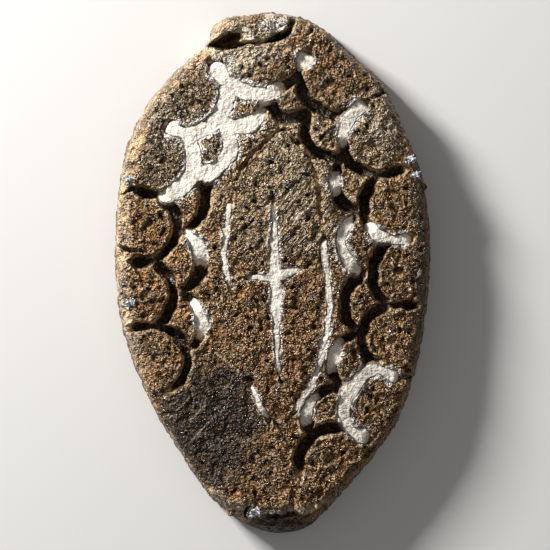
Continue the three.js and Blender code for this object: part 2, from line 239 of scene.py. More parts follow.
@dataclass(frozen=True)
class Stroke:
    """One cut along its middle line, with half its width and its depth at each point."""

    line: np.ndarray
    half: np.ndarray
    depth: np.ndarray
    recess: float

    @classmethod
    def along(
        cls, points: Sequence[Sequence[float]], cut: Cut, weight: float = 1.0, count: int = 25
    ) -> Stroke:
        """A stroke of one kind of cut on a smooth line through points.

        Args:
            points: The points that the middle line goes through.
            cut: The kind of cut.
            weight: How many times as wide as usual it is.
            count: How many points its line has.

        Returns:
            The stroke.
        """
        share = np.linspace(0.0, 1.0, count)
        stops, wide, deep = np.array(cut.profile).T
        return cls(
            smooth_line(points, count),
            np.interp(share, stops, wide) * cut.width * weight / 2,
            np.interp(share, stops, deep) * cut.depth,
            cut.recess,
        )

    def stretch(self, start: float, end: float) -> Stroke:
        """The part of the stroke between two shares of its length.

        Args:
            start: The share at which it starts.
            end: The share at which it ends.

        Returns:
            That part.
        """
        last = len(self.line) - 1
        held = slice(round(start * last), round(end * last) + 1)
        return Stroke(self.line[held], self.half[held], self.depth[held], self.recess)

    def length(self) -> float:
        """The length of the middle line."""
        return float(run_along(self.line)[-1])

    def near(self, at: np.ndarray, margin: float = CUT_MARGIN) -> np.ndarray:
        """Which flat points lie in the stroke's box, grown by a margin.

        Args:
            at: Rows of x and y in millimetres.
            margin: How far the box is grown, in millimetres.

        Returns:
            The row numbers of these points.
        """
        reach = margin + self.half.max()
        low, high = self.line.min(0) - reach, self.line.max(0) + reach
        return np.flatnonzero(((at > low) & (at < high)).all(1))

    def nearest(self, at: np.ndarray) -> tuple[np.ndarray, np.ndarray, np.ndarray, np.ndarray]:
        """How flat points lie to the stroke.

        Args:
            at: Rows of x and y in millimetres.

        Returns:
            For each point the distance to the middle line, half the width and the depth there, and how far
            along the line it lies.
        """
        held = np.column_stack([self.half, self.depth, run_along(self.line)])
        best, found = np.full(len(at), np.inf), np.zeros((len(at), 3))
        steps, changes = np.diff(self.line, axis=0), np.diff(held, axis=0)
        for start, step, first, change in zip(self.line, steps, held, changes):
            t = np.clip((at - start) @ step / (step @ step), 0.0, 1.0)
            away = np.linalg.norm(at - start - t[:, None] * step, axis=1)
            closer = away < best
            best[closer] = away[closer]
            found[closer] = first + t[closer][:, None] * change
        return best, *found.T


class Row(Enum):
    """The kinds of cut in the border."""

    INNER = "inner scale"
    OUTER = "outer scale"
    DART = "dart"


OPEN_ENDED = (
    (0, 0.45, 0.15), (0.14, 0.9, 0.8), (0.25, 1, 1), (0.75, 1, 1), (0.86, 0.9, 0.8), (1, 0.45, 0.15),
)
BLUNT = ((0, 0.45, 0.3), (0.1, 0.85, 0.8), (0.2, 1, 1), (0.8, 1, 1), (0.9, 0.85, 0.8), (1, 0.45, 0.3))
NAIL = ((0, 0.3, 0.12), (0.3, 0.9, 0.9), (1, 0.5, 0.65))
SPINDLE = (
    (0, 0.16, 0.35), (0.2, 0.36, 0.8), (0.33, 0.65, 0.93), (0.43, 1, 1), (0.55, 0.7, 0.93),
    (0.75, 0.38, 0.8), (1, 0.16, 0.35),
)
TWO_POINTS = ((0, 0.2, 0.35), (0.25, 0.47, 0.8), (0.5, 1, 1), (0.75, 0.47, 0.8), (1, 0.2, 0.35))
EVEN = ((0, 1, 1), (1, 1, 1))
OPEN_JOINT = (
    (0, 0.6, 0.7), (0.3, 0.8, 1), (0.4, 0.4, 0.3), (0.52, 0.5, 0.3), (0.64, 0.95, 0.9), (0.9, 0.7, 0.9),
    (1, 0.5, 0.6),
)
WORN_EYE = ((0, 0.5, 0.5), (0.35, 1, 1), (0.8, 0.8, 0.8), (1, 0.4, 0.2))
SLIT = ((0, 0.7, 0.7), (0.3, 1, 1), (0.8, 0.8, 0.8), (1, 0.2, 0.2))
NICK = ((0, 0.6, 0.7), (0.5, 1, 1), (1, 0.2, 0.2))


@dataclass(frozen=True)
class Drawing:
    """The plate's drawing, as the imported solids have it, in millimetres."""

    half_width: float
    half_length: float
    rim_height: float = 3.7
    crown: float = 0.8
    side_draft: float = 0.25
    shoulder: float = 1.0
    foot_shoulder: float = 2.2
    shoulder_drop_share: float = 0.85
    back_chamfer: float = 0.5
    foot_worn_from: float = 0.82
    foot_worn_to: float = 0.98
    band_side_inset: float = 3.75
    band_end_inset: float = 5.3
    scale_count: int = 12
    border_start: float = 0.165
    border_end: float = 0.945
    inner_spring: float = -0.85
    inner_rise: float = 1.95
    outer_spring: float = 1.3
    outer_rise: float = 2.2
    dart_out: float = 2.75
    dart_in: float = 0.9
    pellet_offset: float = 1.25
    pellet_radius: float = 0.42
    pellet_depth: float = 0.14
    pellet_run: tuple[float, float] = (0.06, 0.04)
    hand_sway: float = 0.1
    heavier: float = 0.28
    heaviest_at: float = 4.0
    heavy_reach: float = 2.2
    scale_cut: Cut = Cut(0.95, 1.0, 0.28, OPEN_ENDED)
    dart_cut: Cut = Cut(1.25, 1.15, 0.3, NAIL)
    line_cut: Cut = Cut(0.4, 0.45, 0.1, BLUNT)
    head_cut: Cut = Cut(0.36, 0.32, 0.1, BLUNT)
    shaft_cut: Cut = Cut(1.15, 0.9, 0.18, SPINDLE)
    arm_cut: Cut = Cut(0.95, 0.75, 0.18, TWO_POINTS)

    # Shares of the half width and half length, clockwise from the foot
    outline_shares: ClassVar[Shares] = (
        (0.065, -1), (-0.14, -0.97), (-0.365, -0.875), (-0.575, -0.705), (-0.79, -0.48), (-0.94, -0.25),
        (-1, -0.005), (-0.985, 0.28), (-0.92, 0.495), (-0.765, 0.67), (-0.535, 0.82), (-0.42, 0.885),
        (-0.38, 0.945), (-0.3, 0.98), (-0.165, 0.99), (-0.03, 1), (0.17, 0.98), (0.36, 0.92), (0.535, 0.815),
        (0.69, 0.74), (0.775, 0.64), (0.875, 0.5), (0.955, 0.36), (0.998, 0.18), (1, 0.01), (0.975, -0.17),
        (0.905, -0.385), (0.8, -0.56), (0.61, -0.73), (0.385, -0.88), (0.235, -0.97),
    )
    joint_shares: ClassVar[Shares] = (
        (-0.44, 0.868), (-0.3, 0.862), (-0.17, 0.87), (-0.03, 0.877), (0.08, 0.905), (0.135, 0.955),
        (0.16, 1.02),
    )

    # Shares of the field's half width and half length
    shaft_shares: ClassVar[Shares] = (
        (-0.01, 0.54), (0.02, 0.175), (0.04, -0.03), (0.07, -0.35), (0.12, -0.735),
    )
    arm_shares: ClassVar[Shares] = ((-0.51, -0.035), (0.04, -0.018), (0.58, 0.053))
    head_shares: ClassVar[Shares] = (
        (-0.6, 0.578), (-0.33, 0.77), (-0.095, 0.875), (0.143, 0.954), (0.43, 0.84), (0.64, 0.665),
        (0.715, 0.48), (0.727, 0.33),
    )
    left_shares: ClassVar[Shares] = (
        (-0.61, 0.525), (-0.68, 0.35), (-0.715, 0.175), (-0.69, 0), (-0.596, -0.14),
    )
    foot_left_shares: ClassVar[Shares] = ((-0.333, -0.7), (-0.238, -0.84), (-0.024, -1))
    right_shares: ClassVar[Shares] = (
        (0.762, 0.28), (0.822, 0), (0.857, -0.21), (0.786, -0.455), (0.524, -0.787), (0.238, -0.97),
    )

    @classmethod
    def from_frame(cls) -> Drawing:
        """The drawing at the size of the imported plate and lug.

        Returns:
            The drawing.
        """
        plate_low, plate_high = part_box("matrix_plate")
        lug_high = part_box("suspension_lug")[1]
        width = plate_high.x - plate_low.x
        length = max(plate_high.y, lug_high.y) - plate_low.y
        return cls(width / 2 / MM, length / 2 / MM)

    def place(self, shares: Iterable[Sequence[float]]) -> np.ndarray:
        """Points given in shares of the half width and half length, in millimetres."""
        return np.asarray(list(shares), float) * (self.half_width, self.half_length)

    def place_in_field(self, shares: Iterable[Sequence[float]]) -> np.ndarray:
        """Points given in shares of the pointed field inside the border, in millimetres.

        Args:
            shares: Rows of two shares.

        Returns:
            Rows of x and y.
        """
        border = self.inner_rise - self.inner_spring + self.scale_cut.width / 2
        half_width = self.half_width - self.band_side_inset - border
        half_length = self.half_length - self.band_end_inset - border
        return np.asarray(list(shares), float) * (half_width, half_length)

    def outline(self, count: int = 1200) -> np.ndarray:
        """The outline as evenly spaced points whose box is the plate's width by its length.

        Args:
            count: How many points it has.

        Returns:
            Rows of x and y.
        """
        line = smooth_line(self.place(self.outline_shares), count, closed=True)
        low, high = line.min(0), line.max(0)
        return (line - (low + high) / 2) * (2 * self.half_width, 2 * self.half_length) / (high - low)

    def face_height(self, x: np.ndarray, y: np.ndarray) -> np.ndarray:
        """The height of the crowned face above the back."""
        away = (x / self.half_width) ** 2 + (y / self.half_length) ** 2
        return self.rim_height + self.crown * np.maximum(0.0, 1.0 - away)

    def shoulder_width(self, y: np.ndarray) -> np.ndarray:
        """The width of the rounded shoulder, which grows where the foot is worn down."""
        worn = smooth_share(self.foot_worn_from, self.foot_worn_to, -y / self.half_length)
        return self.shoulder + (self.foot_shoulder - self.shoulder) * worn

    def inset(self, points: np.ndarray) -> np.ndarray:
        """How far inside the outline points lie, in millimetres, negative outside, whatever their height.

        Args:
            points: Rows of x, y and z in millimetres.

        Returns:
            One distance for each point.
        """
        line = self.outline(2400)
        out = -across(line, closed=True)
        tree = kdtree.KDTree(len(line))
        for i, (x, y) in enumerate(line):
            tree.insert((x, y, 0.0), i)
        tree.balance()
        found = [tree.find((x, y, 0.0)) for x, y in points[:, :2].tolist()]
        away, near = np.array([hit[2] for hit in found]), np.array([hit[1] for hit in found])
        outside = ((points[:, :2] - line[near]) * out[near]).sum(1) > 0
        return np.where(outside, -away, away)

    def rounded_height(self, points: np.ndarray) -> np.ndarray:
        """The height of the crowned face and its rounded shoulder at points.

        Args:
            points: Rows of x, y and z in millimetres.

        Returns:
            One height for each point, in millimetres.
        """
        wide = self.shoulder_width(points[:, 1])
        flat = 1 - np.clip((self.inset(points) - self.side_draft) / wide, 0.0, 1.0)
        drop = self.shoulder_drop_share * wide * (1 - np.sqrt(1 - flat**2))
        return self.face_height(points[:, 0], points[:, 1]) - drop

    def band(self) -> tuple[np.ndarray, np.ndarray]:
        """The middle of the border, clockwise from the foot, with its outward unit vectors.

        Returns:
            Rows of x and y, and the rows of the vectors.
        """
        turn = -math.pi / 2 - np.linspace(0.0, 2 * math.pi, 1441)
        semi = (self.half_width - self.band_side_inset, self.half_length - self.band_end_inset)
        ring = np.column_stack([np.cos(turn), np.sin(turn)]) * semi
        out = np.column_stack([np.cos(turn), np.sin(turn)]) / semi
        return ring, out / np.linalg.norm(out, axis=1)[:, None]

    def band_point(self, number: float, offset: float) -> np.ndarray:
        """A point of the border.

        Args:
            number: How many scales along the border it lies.
            offset: How far outwards from the middle of the border it lies.

        Returns:
            Its x and y.
        """
        ring, out = self.band()
        run = run_along(ring)
        share = self.border_start + (self.border_end - self.border_start) * number / self.scale_count
        reached = share * run[-1]
        at, away = (
            np.array([np.interp(reached, run, rows[:, axis]) for axis in (0, 1)]) for rows in (ring, out)
        )
        return at + away / np.linalg.norm(away) * offset

    def sway(self, number: float) -> float:
        """A small unevenness, as of a hand with a graver, that differs from cut to cut."""
        return self.hand_sway * math.sin(3.7 * number + 2)

    def weight(self, number: float) -> float:
        """How many times as wide as usual a cut is, at a place on the border."""
        return 1 + self.heavier * math.exp(-(((number - self.heaviest_at) / self.heavy_reach) ** 2))

    def border_stroke(self, row: Row, number: int) -> Stroke:
        """One cut of the border.

        Args:
            row: Its kind.
            number: Its number along the border, from the foot's left.

        Returns:
            The stroke.
        """
        if row is Row.DART:
            out = self.dart_out * (1 + self.sway(number + 3))
            outer = self.band_point(number + 0.5 + 0.4 * self.sway(number), out)
            inner = self.band_point(number + 0.5, self.dart_in)
            return Stroke.along([outer, inner], self.dart_cut, self.weight(number), 9)
        inside = row is Row.INNER
        middle = number + 0.5 if inside else float(number)
        spring = self.inner_spring if inside else self.outer_spring
        rise = self.inner_rise if inside else self.outer_rise
        points = []
        for turn in np.radians(range(0, 181, 30)):
            offset = spring - rise * (1 + self.sway(middle)) * math.sin(turn)
            points.append(self.band_point(middle - 0.5 * math.cos(turn), offset))
        return Stroke.along(points, self.scale_cut, self.weight(middle))

    def border_strokes(self) -> list[Stroke]:
        """Every cut of the border."""
        counts = {Row.INNER: self.scale_count, Row.OUTER: self.scale_count + 1, Row.DART: self.scale_count}
        return [self.border_stroke(row, number) for row, count in counts.items() for number in range(count)]

    def pellet_strokes(self) -> list[Stroke]:
        """The drilled pellet in each outer scale, as very short strokes.

        Returns:
            One stroke for each pellet.
        """
        pellet = Cut(2 * self.pellet_radius, self.pellet_depth, 0, EVEN)
        strokes = []
        for number in range(self.scale_count + 1):
            at = self.band_point(number + 0.3 * self.sway(number), self.pellet_offset)
            strokes.append(Stroke.along([at, at + self.pellet_run], pellet, count=2))
        return strokes

    def star_strokes(self) -> list[Stroke]:
        """The long shaft and the short arm that cross to make the star.

        Returns:
            The shaft's stroke and the arm's.
        """
        return [
            Stroke.along(self.place_in_field(self.shaft_shares), self.shaft_cut, count=41),
            Stroke.along(self.place_in_field(self.arm_shares), self.arm_cut),
        ]

    def field_strokes(self) -> dict[str, Stroke]:
        """The three white lines that frame the pointed field, by name."""
        shares = {"left": self.left_shares, "foot_left": self.foot_left_shares, "right": self.right_shares}
        return {name: Stroke.along(self.place_in_field(line), self.line_cut) for name, line in shares.items()}

    def head_stroke(self) -> Stroke:
        """The thin line round the pointed field's head."""
        return Stroke.along(self.place_in_field(self.head_shares), self.head_cut, count=31)

    def all_strokes(self) -> tuple[Stroke, ...]:
        """Every cut in the face."""
        border = (*self.border_strokes(), *self.pellet_strokes())
        return (*border, *self.star_strokes(), *self.field_strokes().values(), self.head_stroke())


def rows_of(
    members: bpy.types.bpy_prop_collection, name: str, width: int, kind: type = float
) -> np.ndarray:
    """What each member of a collection holds under a name, as rows of numbers.

    Args:
        members: The members, such as a mesh's vertices.
        name: The name of what they hold.
        width: How many numbers each of them holds under it.
        kind: The kind of number.

    Returns:
        One row for each member.
    """
    flat = np.empty(len(members) * width, kind)
    members.foreach_get(name, flat)
    return flat.reshape(-1, width)


def mesh_points(mesh: bpy.types.Mesh) -> np.ndarray:
    """The positions of a mesh's vertices as rows."""
    return rows_of(mesh.vertices, "co", 3)


def set_mesh_points(mesh: bpy.types.Mesh, points: np.ndarray) -> None:
    """Moves a mesh's vertices to new positions."""
    mesh.vertices.foreach_set("co", points.astype(np.float32).ravel())
    mesh.update()


def mesh_normals(mesh: bpy.types.Mesh) -> np.ndarray:
    """The unit normals at a mesh's vertices as rows."""
    return rows_of(mesh.vertex_normals, "vector", 3)


def mesh_edges(mesh: bpy.types.Mesh) -> np.ndarray:
    """The two vertex numbers of each edge as rows."""
    return rows_of(mesh.edges, "vertices", 2, np.int32)


def relaxed(values: np.ndarray, edges: np.ndarray, rounds: int) -> np.ndarray:
    """Values at vertices, each averaged with its neighbours a number of times.

    Args:
        values: One number for each vertex.
        edges: Rows of the two vertex numbers of each edge.
        rounds: How many times they are averaged.

    Returns:
        One number for each vertex.
    """
    count = len(values)
    ends = np.concatenate([edges[:, 0], edges[:, 1]])
    others = np.concatenate([edges[:, 1], edges[:, 0]])
    valence = np.maximum(np.bincount(ends, minlength=count), 1)
    for _ in range(rounds):
        values = 0.5 * values + 0.5 * np.bincount(ends, values[others], count) / valence
    return values


def set_attribute(mesh: bpy.types.Mesh, name: str, values: np.ndarray) -> None:
    """Keeps one number for each vertex of a mesh, for its material to read."""
    layer = mesh.attributes.new(name, "FLOAT", "POINT")
    layer.data.foreach_set("value", values.astype(np.float32))


def mesh_of(bm: bmesh.types.BMesh, name: str) -> bpy.types.Mesh:
    """Turns a bmesh into a mesh and frees it.

    Args:
        bm: The bmesh.
        name: The mesh's name.

    Returns:
        The mesh.
    """
    mesh = bpy.data.meshes.new(name)
    bm.to_mesh(mesh)
    bm.free()
    return mesh


def scene_object(name: str, mesh: bpy.types.Mesh) -> bpy.types.Object:
    """Links a new object with a mesh to the scene.

    Args:
        name: Its name.
        mesh: Its mesh.

    Returns:
        The object.
    """
    made = bpy.data.objects.new(name, mesh)
    bpy.context.scene.collection.objects.link(made)
    return made


def applied(piece: bpy.types.Object) -> bpy.types.Mesh:
    """The mesh of an object with its modifiers applied; the object itself is removed.

    Args:
        piece: The object.

    Returns:
        The mesh.
    """
    graph = bpy.context.evaluated_depsgraph_get()
    mesh = bpy.data.meshes.new_from_object(piece.evaluated_get(graph), depsgraph=graph)
    bpy.data.objects.remove(piece)
    return mesh


def finished_piece(
    name: str, mesh: bpy.types.Mesh, material: bpy.types.Material, nodes: Sequence[str]
) -> None:
    """Turns a mesh in millimetres into a dressed piece of the object, at the origin and in metres.

    Args:
        name: The piece's name.
        mesh: Its mesh, in millimetres in the frame of the model.
        material: Its finish.
        nodes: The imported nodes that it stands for.
    """
    mesh.transform(Matrix.Scale(MM, 4))
    mesh.materials.clear()
    mesh.materials.append(material)
    mesh.polygons.foreach_set("use_smooth", [True] * len(mesh.polygons))
    piece = scene_object(name, mesh)
    mesh.name = name
    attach(piece, "root")
    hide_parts(*nodes)
    triangles = sum(len(p.vertices) - 2 for p in mesh.polygons)
    LOG.info("%s: %d triangles", name, triangles)


@dataclass(frozen=True)
class Tablet:
    """A closed tablet whose vertices hold where they are on it, before they are placed.

    Its face is a square grid from -1 to 1, its side goes down one unit a ring, and its back is a coarser
    grid one unit below the last ring.
    """

    columns: int
    rows: int
    rings: int
    back_share: int = 4

    def mesh(self, name: str) -> bpy.types.Mesh:
        """The tablet as a mesh.

        Args:
            name: The mesh's name.

        Returns:
            The mesh.
        """
        bm = bmesh.new()
        bmesh.ops.create_grid(bm, x_segments=self.columns, y_segments=self.rows, size=1)
        rim = [e for e in bm.edges if e.is_boundary]
        for _ in range(self.rings):
            made = bmesh.ops.extrude_edge_only(bm, edges=rim)["geom"]
            rim = [e for e in made if isinstance(e, bmesh.types.BMEdge) and e.is_boundary]
            bmesh.ops.translate(bm, verts=list({v for e in rim for v in e.verts}), vec=(0, 0, -1))
        back = bmesh.ops.create_grid(
            bm, x_segments=self.columns // self.back_share, y_segments=self.rows // self.back_share, size=1,
            matrix=Matrix.Translation((0, 0, -self.rings - 1)),
        )["verts"]
        back_rim = [e for e in {e for v in back for e in v.link_edges} if e.is_boundary]
        bmesh.ops.bridge_loops(bm, edges=rim + back_rim)
        bmesh.ops.recalc_face_normals(bm, faces=bm.faces)
        return mesh_of(bm, name)

    @staticmethod
    def round_place(flat: np.ndarray) -> tuple[np.ndarray, np.ndarray]:
        """Maps the square of the grid onto a round.

        Args:
            flat: Rows of x and y from -1 to 1.

        Returns:
            For each row the share of the radius and the turn in radians.
        """
        x = flat[:, 0] * np.sqrt(1 - flat[:, 1] ** 2 / 2)
        y = flat[:, 1] * np.sqrt(1 - flat[:, 0] ** 2 / 2)
        return np.hypot(x, y), np.arctan2(y, x)


@dataclass(frozen=True)
class Wear:
    """What time has done to the casting: the open joint, nicks, a slit, file marks and a broken foot."""

    drawing: Drawing
    joint_cut: Cut = Cut(0.66, 1.25, 0, OPEN_JOINT)
    eye_cut: Cut = Cut(1.35, 0.8, 0, WORN_EYE)
    slit_cut: Cut = Cut(0.22, 0.42, 0, SLIT)
    nick_cut: Cut = Cut(0.34, 0.6, 0, NICK)
    file_spacing: float = 0.3
    file_depth: float = 0.07
    file_stretch: float = 7.0
    scratch_width: float = 0.08
    foot_drop: float = 0.9
    ledge_drop: float = 0.4
    foot_edge: ClassVar[Layers] = ((1.7, 0.5), (0.55, 0.25))

    # Shares of the half width and half length
    eye_shares: ClassVar[Shares] = ((-0.385, 0.87), (-0.3, 0.876), (-0.19, 0.905))
    slit_shares: ClassVar[Shares] = ((-0.959, -0.2375), (-0.818, -0.205), (-0.645, -0.1475), (-0.488, -0.12))
    nick_shares: ClassVar[tuple[Shares, ...]] = (
        ((-1, 0.1025), (-0.901, 0.0875), (-0.793, 0.0825)),
        ((-0.95, 0.295), (-0.86, 0.325), (-0.802, 0.315)),
        ((0.967, -0.4), (0.876, -0.39), (0.793, -0.395)),
        ((0.76, 0.715), (0.678, 0.68), (0.612, 0.665)),
        ((-0.17, -0.93), (-0.155, -0.89), (-0.13, -0.87)),
        ((0.27, 0.965), (0.245, 0.92), (0.2, 0.885)),
    )
    file_zone: ClassVar[tuple[float, float, float, float]] = (0.198, 0.23, 0.26, 0.2)
    scratch_shares: ClassVar[tuple[Shares, ...]] = (
        ((-0.06, 0.53), (0.1, 0.455)), ((0.09, 0.54), (-0.08, 0.44)), ((-0.12, 0.5), (0.06, 0.41)),
        ((-0.55, -0.58), (-0.42, -0.5)), ((-0.5, -0.63), (-0.36, -0.54)), ((-0.6, -0.52), (-0.5, -0.46)),
        ((-0.36, -0.3), (-0.2, -0.38)), ((0.3, -0.16), (0.5, -0.12)),
    )
    foot_shares: ClassVar[Shares] = (
        (-0.529, -0.78), (-0.455, -0.82), (-0.2975, -0.88), (-0.066, -0.9125), (0.174, -0.9), (0.364, -0.865),
        (0.496, -0.82),
    )

    def hollows(self) -> list[Stroke]:
        """The worn openings, as strokes.

        Returns:
            The strokes of the joint, the eye, the slit and the nicks.
        """
        place = self.drawing.place
        return [
            Stroke.along(place(self.drawing.joint_shares), self.joint_cut, count=49),
            Stroke.along(place(self.eye_shares), self.eye_cut),
            Stroke.along(place(self.slit_shares), self.slit_cut),
            *(Stroke.along(place(line), self.nick_cut, count=9) for line in self.nick_shares),
        ]

    def beyond_foot(self, points: np.ndarray) -> np.ndarray:
        """How far points lie beyond the foot's ragged edge, in millimetres.

        Args:
            points: Rows of x, y and z in millimetres.

        Returns:
            One distance for each point, negative on the face's side.
        """
        edge = smooth_line(self.drawing.place(self.foot_shares), 40)
        ragged = layered(levelled(points), self.foot_edge, Field.FOOT_EDGE)
        beyond = np.interp(points[:, 0], edge[:, 0], edge[:, 1]) + ragged - points[:, 1]
        inside = (points[:, 0] > edge[0, 0]) & (points[:, 0] < edge[-1, 0])
        return np.where(inside, beyond, np.minimum(beyond, -1.0))

    def broken_away(self, points: np.ndarray) -> np.ndarray:
        """How much the face has lost beyond the foot's ragged edge, in millimetres.

        Args:
            points: Rows of x, y and z in millimetres.

        Returns:
            One depth for each point.
        """
        beyond = self.beyond_foot(points)
        dropped = self.foot_drop * smooth_share(0, 0.35, beyond)
        return dropped + self.ledge_drop * smooth_share(0.5, 0.9, beyond)

    def filed(self, points: np.ndarray) -> np.ndarray:
        """How strongly the slanting file marks show at points, from 0 to 1.

        Args:
            points: Rows of x, y and z in millimetres.

        Returns:
            One share for each point.
        """
        x, y, reach_x, reach_y = self.file_zone
        wide, long = self.drawing.half_width, self.drawing.half_length
        away = np.hypot((points[:, 0] / wide - x) / reach_x, (points[:, 1] / long - y) / reach_y)
        return smooth_share(1.15, 0.6, away + 0.3 * unevenness(points, 1.5, Field.FILE_ZONE))

    def scratched(self, points: np.ndarray) -> np.ndarray:
        """How strongly the fine scratches show at points, from 0 to 1.

        Args:
            points: Rows of x, y and z in millimetres.

        Returns:
            One share for each point.
        """
        away = np.full(len(points), 1.0)
        hairline = Cut(self.scratch_width, 0, 0, EVEN)
        for line in self.scratch_shares:
            stroke = Stroke.along(self.drawing.place(line), hairline, count=9)
            away = np.minimum(away, stroke.nearest(points[:, :2])[0])
        return np.exp(-((away / self.scratch_width) ** 2))

    def file_marks(self, points: np.ndarray) -> np.ndarray:
        """The height of the file marks, in millimetres.

        Args:
            points: Rows of x, y and z in millimetres.

        Returns:
            One height for each point.
        """
        turn = math.radians(FILE_TURN)
        along = points[:, 0] * math.cos(turn) + points[:, 1] * math.sin(turn)
        cross = -points[:, 0] * math.sin(turn) + points[:, 1] * math.cos(turn)
        drawn_out = levelled(np.column_stack([along / self.file_stretch, cross]))
        marks = unevenness(drawn_out, self.file_spacing, Field.FILE_MARKS)
        return self.file_depth * marks * self.filed(points)


@dataclass(frozen=True)
class Tones:
    """Where the patina changes colour, as soft patches with uneven edges; some of the pale and dark patches
    are painted light and painted shade.

    Each patch is its middle and its reach, as shares of the half width and half length, and its strength.
    """

    drawing: Drawing
    ragged_edge: ClassVar[Layers] = ((2.5, 0.3), (0.8, 0.15))
    patches: ClassVar[dict[str, tuple[Patch, ...]]] = {
        # The pale patches over the head and the lug are partly a paler patina and partly painted light on the
        # upper end
        "pale": ((-0.3, 0.86, 0.34, 0.11, 1.0), (0.02, 0.94, 0.14, 0.055, 1.0), (0.7, 0.62, 0.16, 0.12, 0.4)),
        # The dark patch at the lower left is darker patina; the dark patches on the right rim and along the
        # foot's bottom edge are painted shade, where the surface turns away from the light
        "dark": (
            (-0.37, -0.56, 0.36, 0.25, 1.0), (0.97, 0.0, 0.12, 0.6, 0.7), (0.3, 0.68, 0.4, 0.14, 0.4),
            (0.1, -1.0, 0.5, 0.07, 1.0), (-0.62, 0.5, 0.26, 0.22, 0.55), (-0.4, 0.66, 0.2, 0.12, 0.5),
        ),
        "moss": (
            (0.14, 0.46, 0.3, 0.24, 0.6), (0.0, 0.24, 0.42, 0.2, 0.5), (0.6, 0.5, 0.2, 0.2, 0.4),
            (-0.55, 0.55, 0.4, 0.3, 0.45),
        ),
        "veil": (
            (0.02, 0.94, 0.13, 0.05, 1.0), (-0.35, 0.8, 0.3, 0.1, 0.7), (-0.6, 0.55, 0.3, 0.2, 0.7),
            (0.75, 0.55, 0.18, 0.12, 0.7), (0.62, -0.45, 0.2, 0.12, 0.5), (0.14, 0.42, 0.28, 0.2, 0.4),
        ),
        "rust": (
            (0.0, -0.86, 0.6, 0.08, 0.9), (0.12, -0.38, 0.32, 0.34, 0.9), (-0.75, -0.3, 0.25, 0.2, 0.5),
            (0.3, -0.6, 0.4, 0.2, 0.4), (-0.6, -0.75, 0.2, 0.16, 0.7), (-0.98, -0.1, 0.1, 0.3, 0.7),
            (0.75, -0.15, 0.28, 0.4, 0.5), (-0.7, 0.08, 0.28, 0.22, 0.4),
        ),
    }

    def share(self, name: str, points: np.ndarray) -> np.ndarray:
        """How strongly a tone shows at points, from 0 to 1.

        Args:
            name: The tone's name.
            points: Rows of x, y and z in millimetres.

        Returns:
            One share for each point.
        """
        at = points[:, :2] / (self.drawing.half_width, self.drawing.half_length)
        ragged = layered(points, self.ragged_edge, Field.TONES)
        total = np.zeros(len(points))
        for x, y, reach_x, reach_y, strength in self.patches[name]:
            away = np.hypot((at[:, 0] - x) / reach_x, (at[:, 1] - y) / reach_y)
            total = np.maximum(total, strength * smooth_share(1.35, 0.45, away + ragged))
        return total


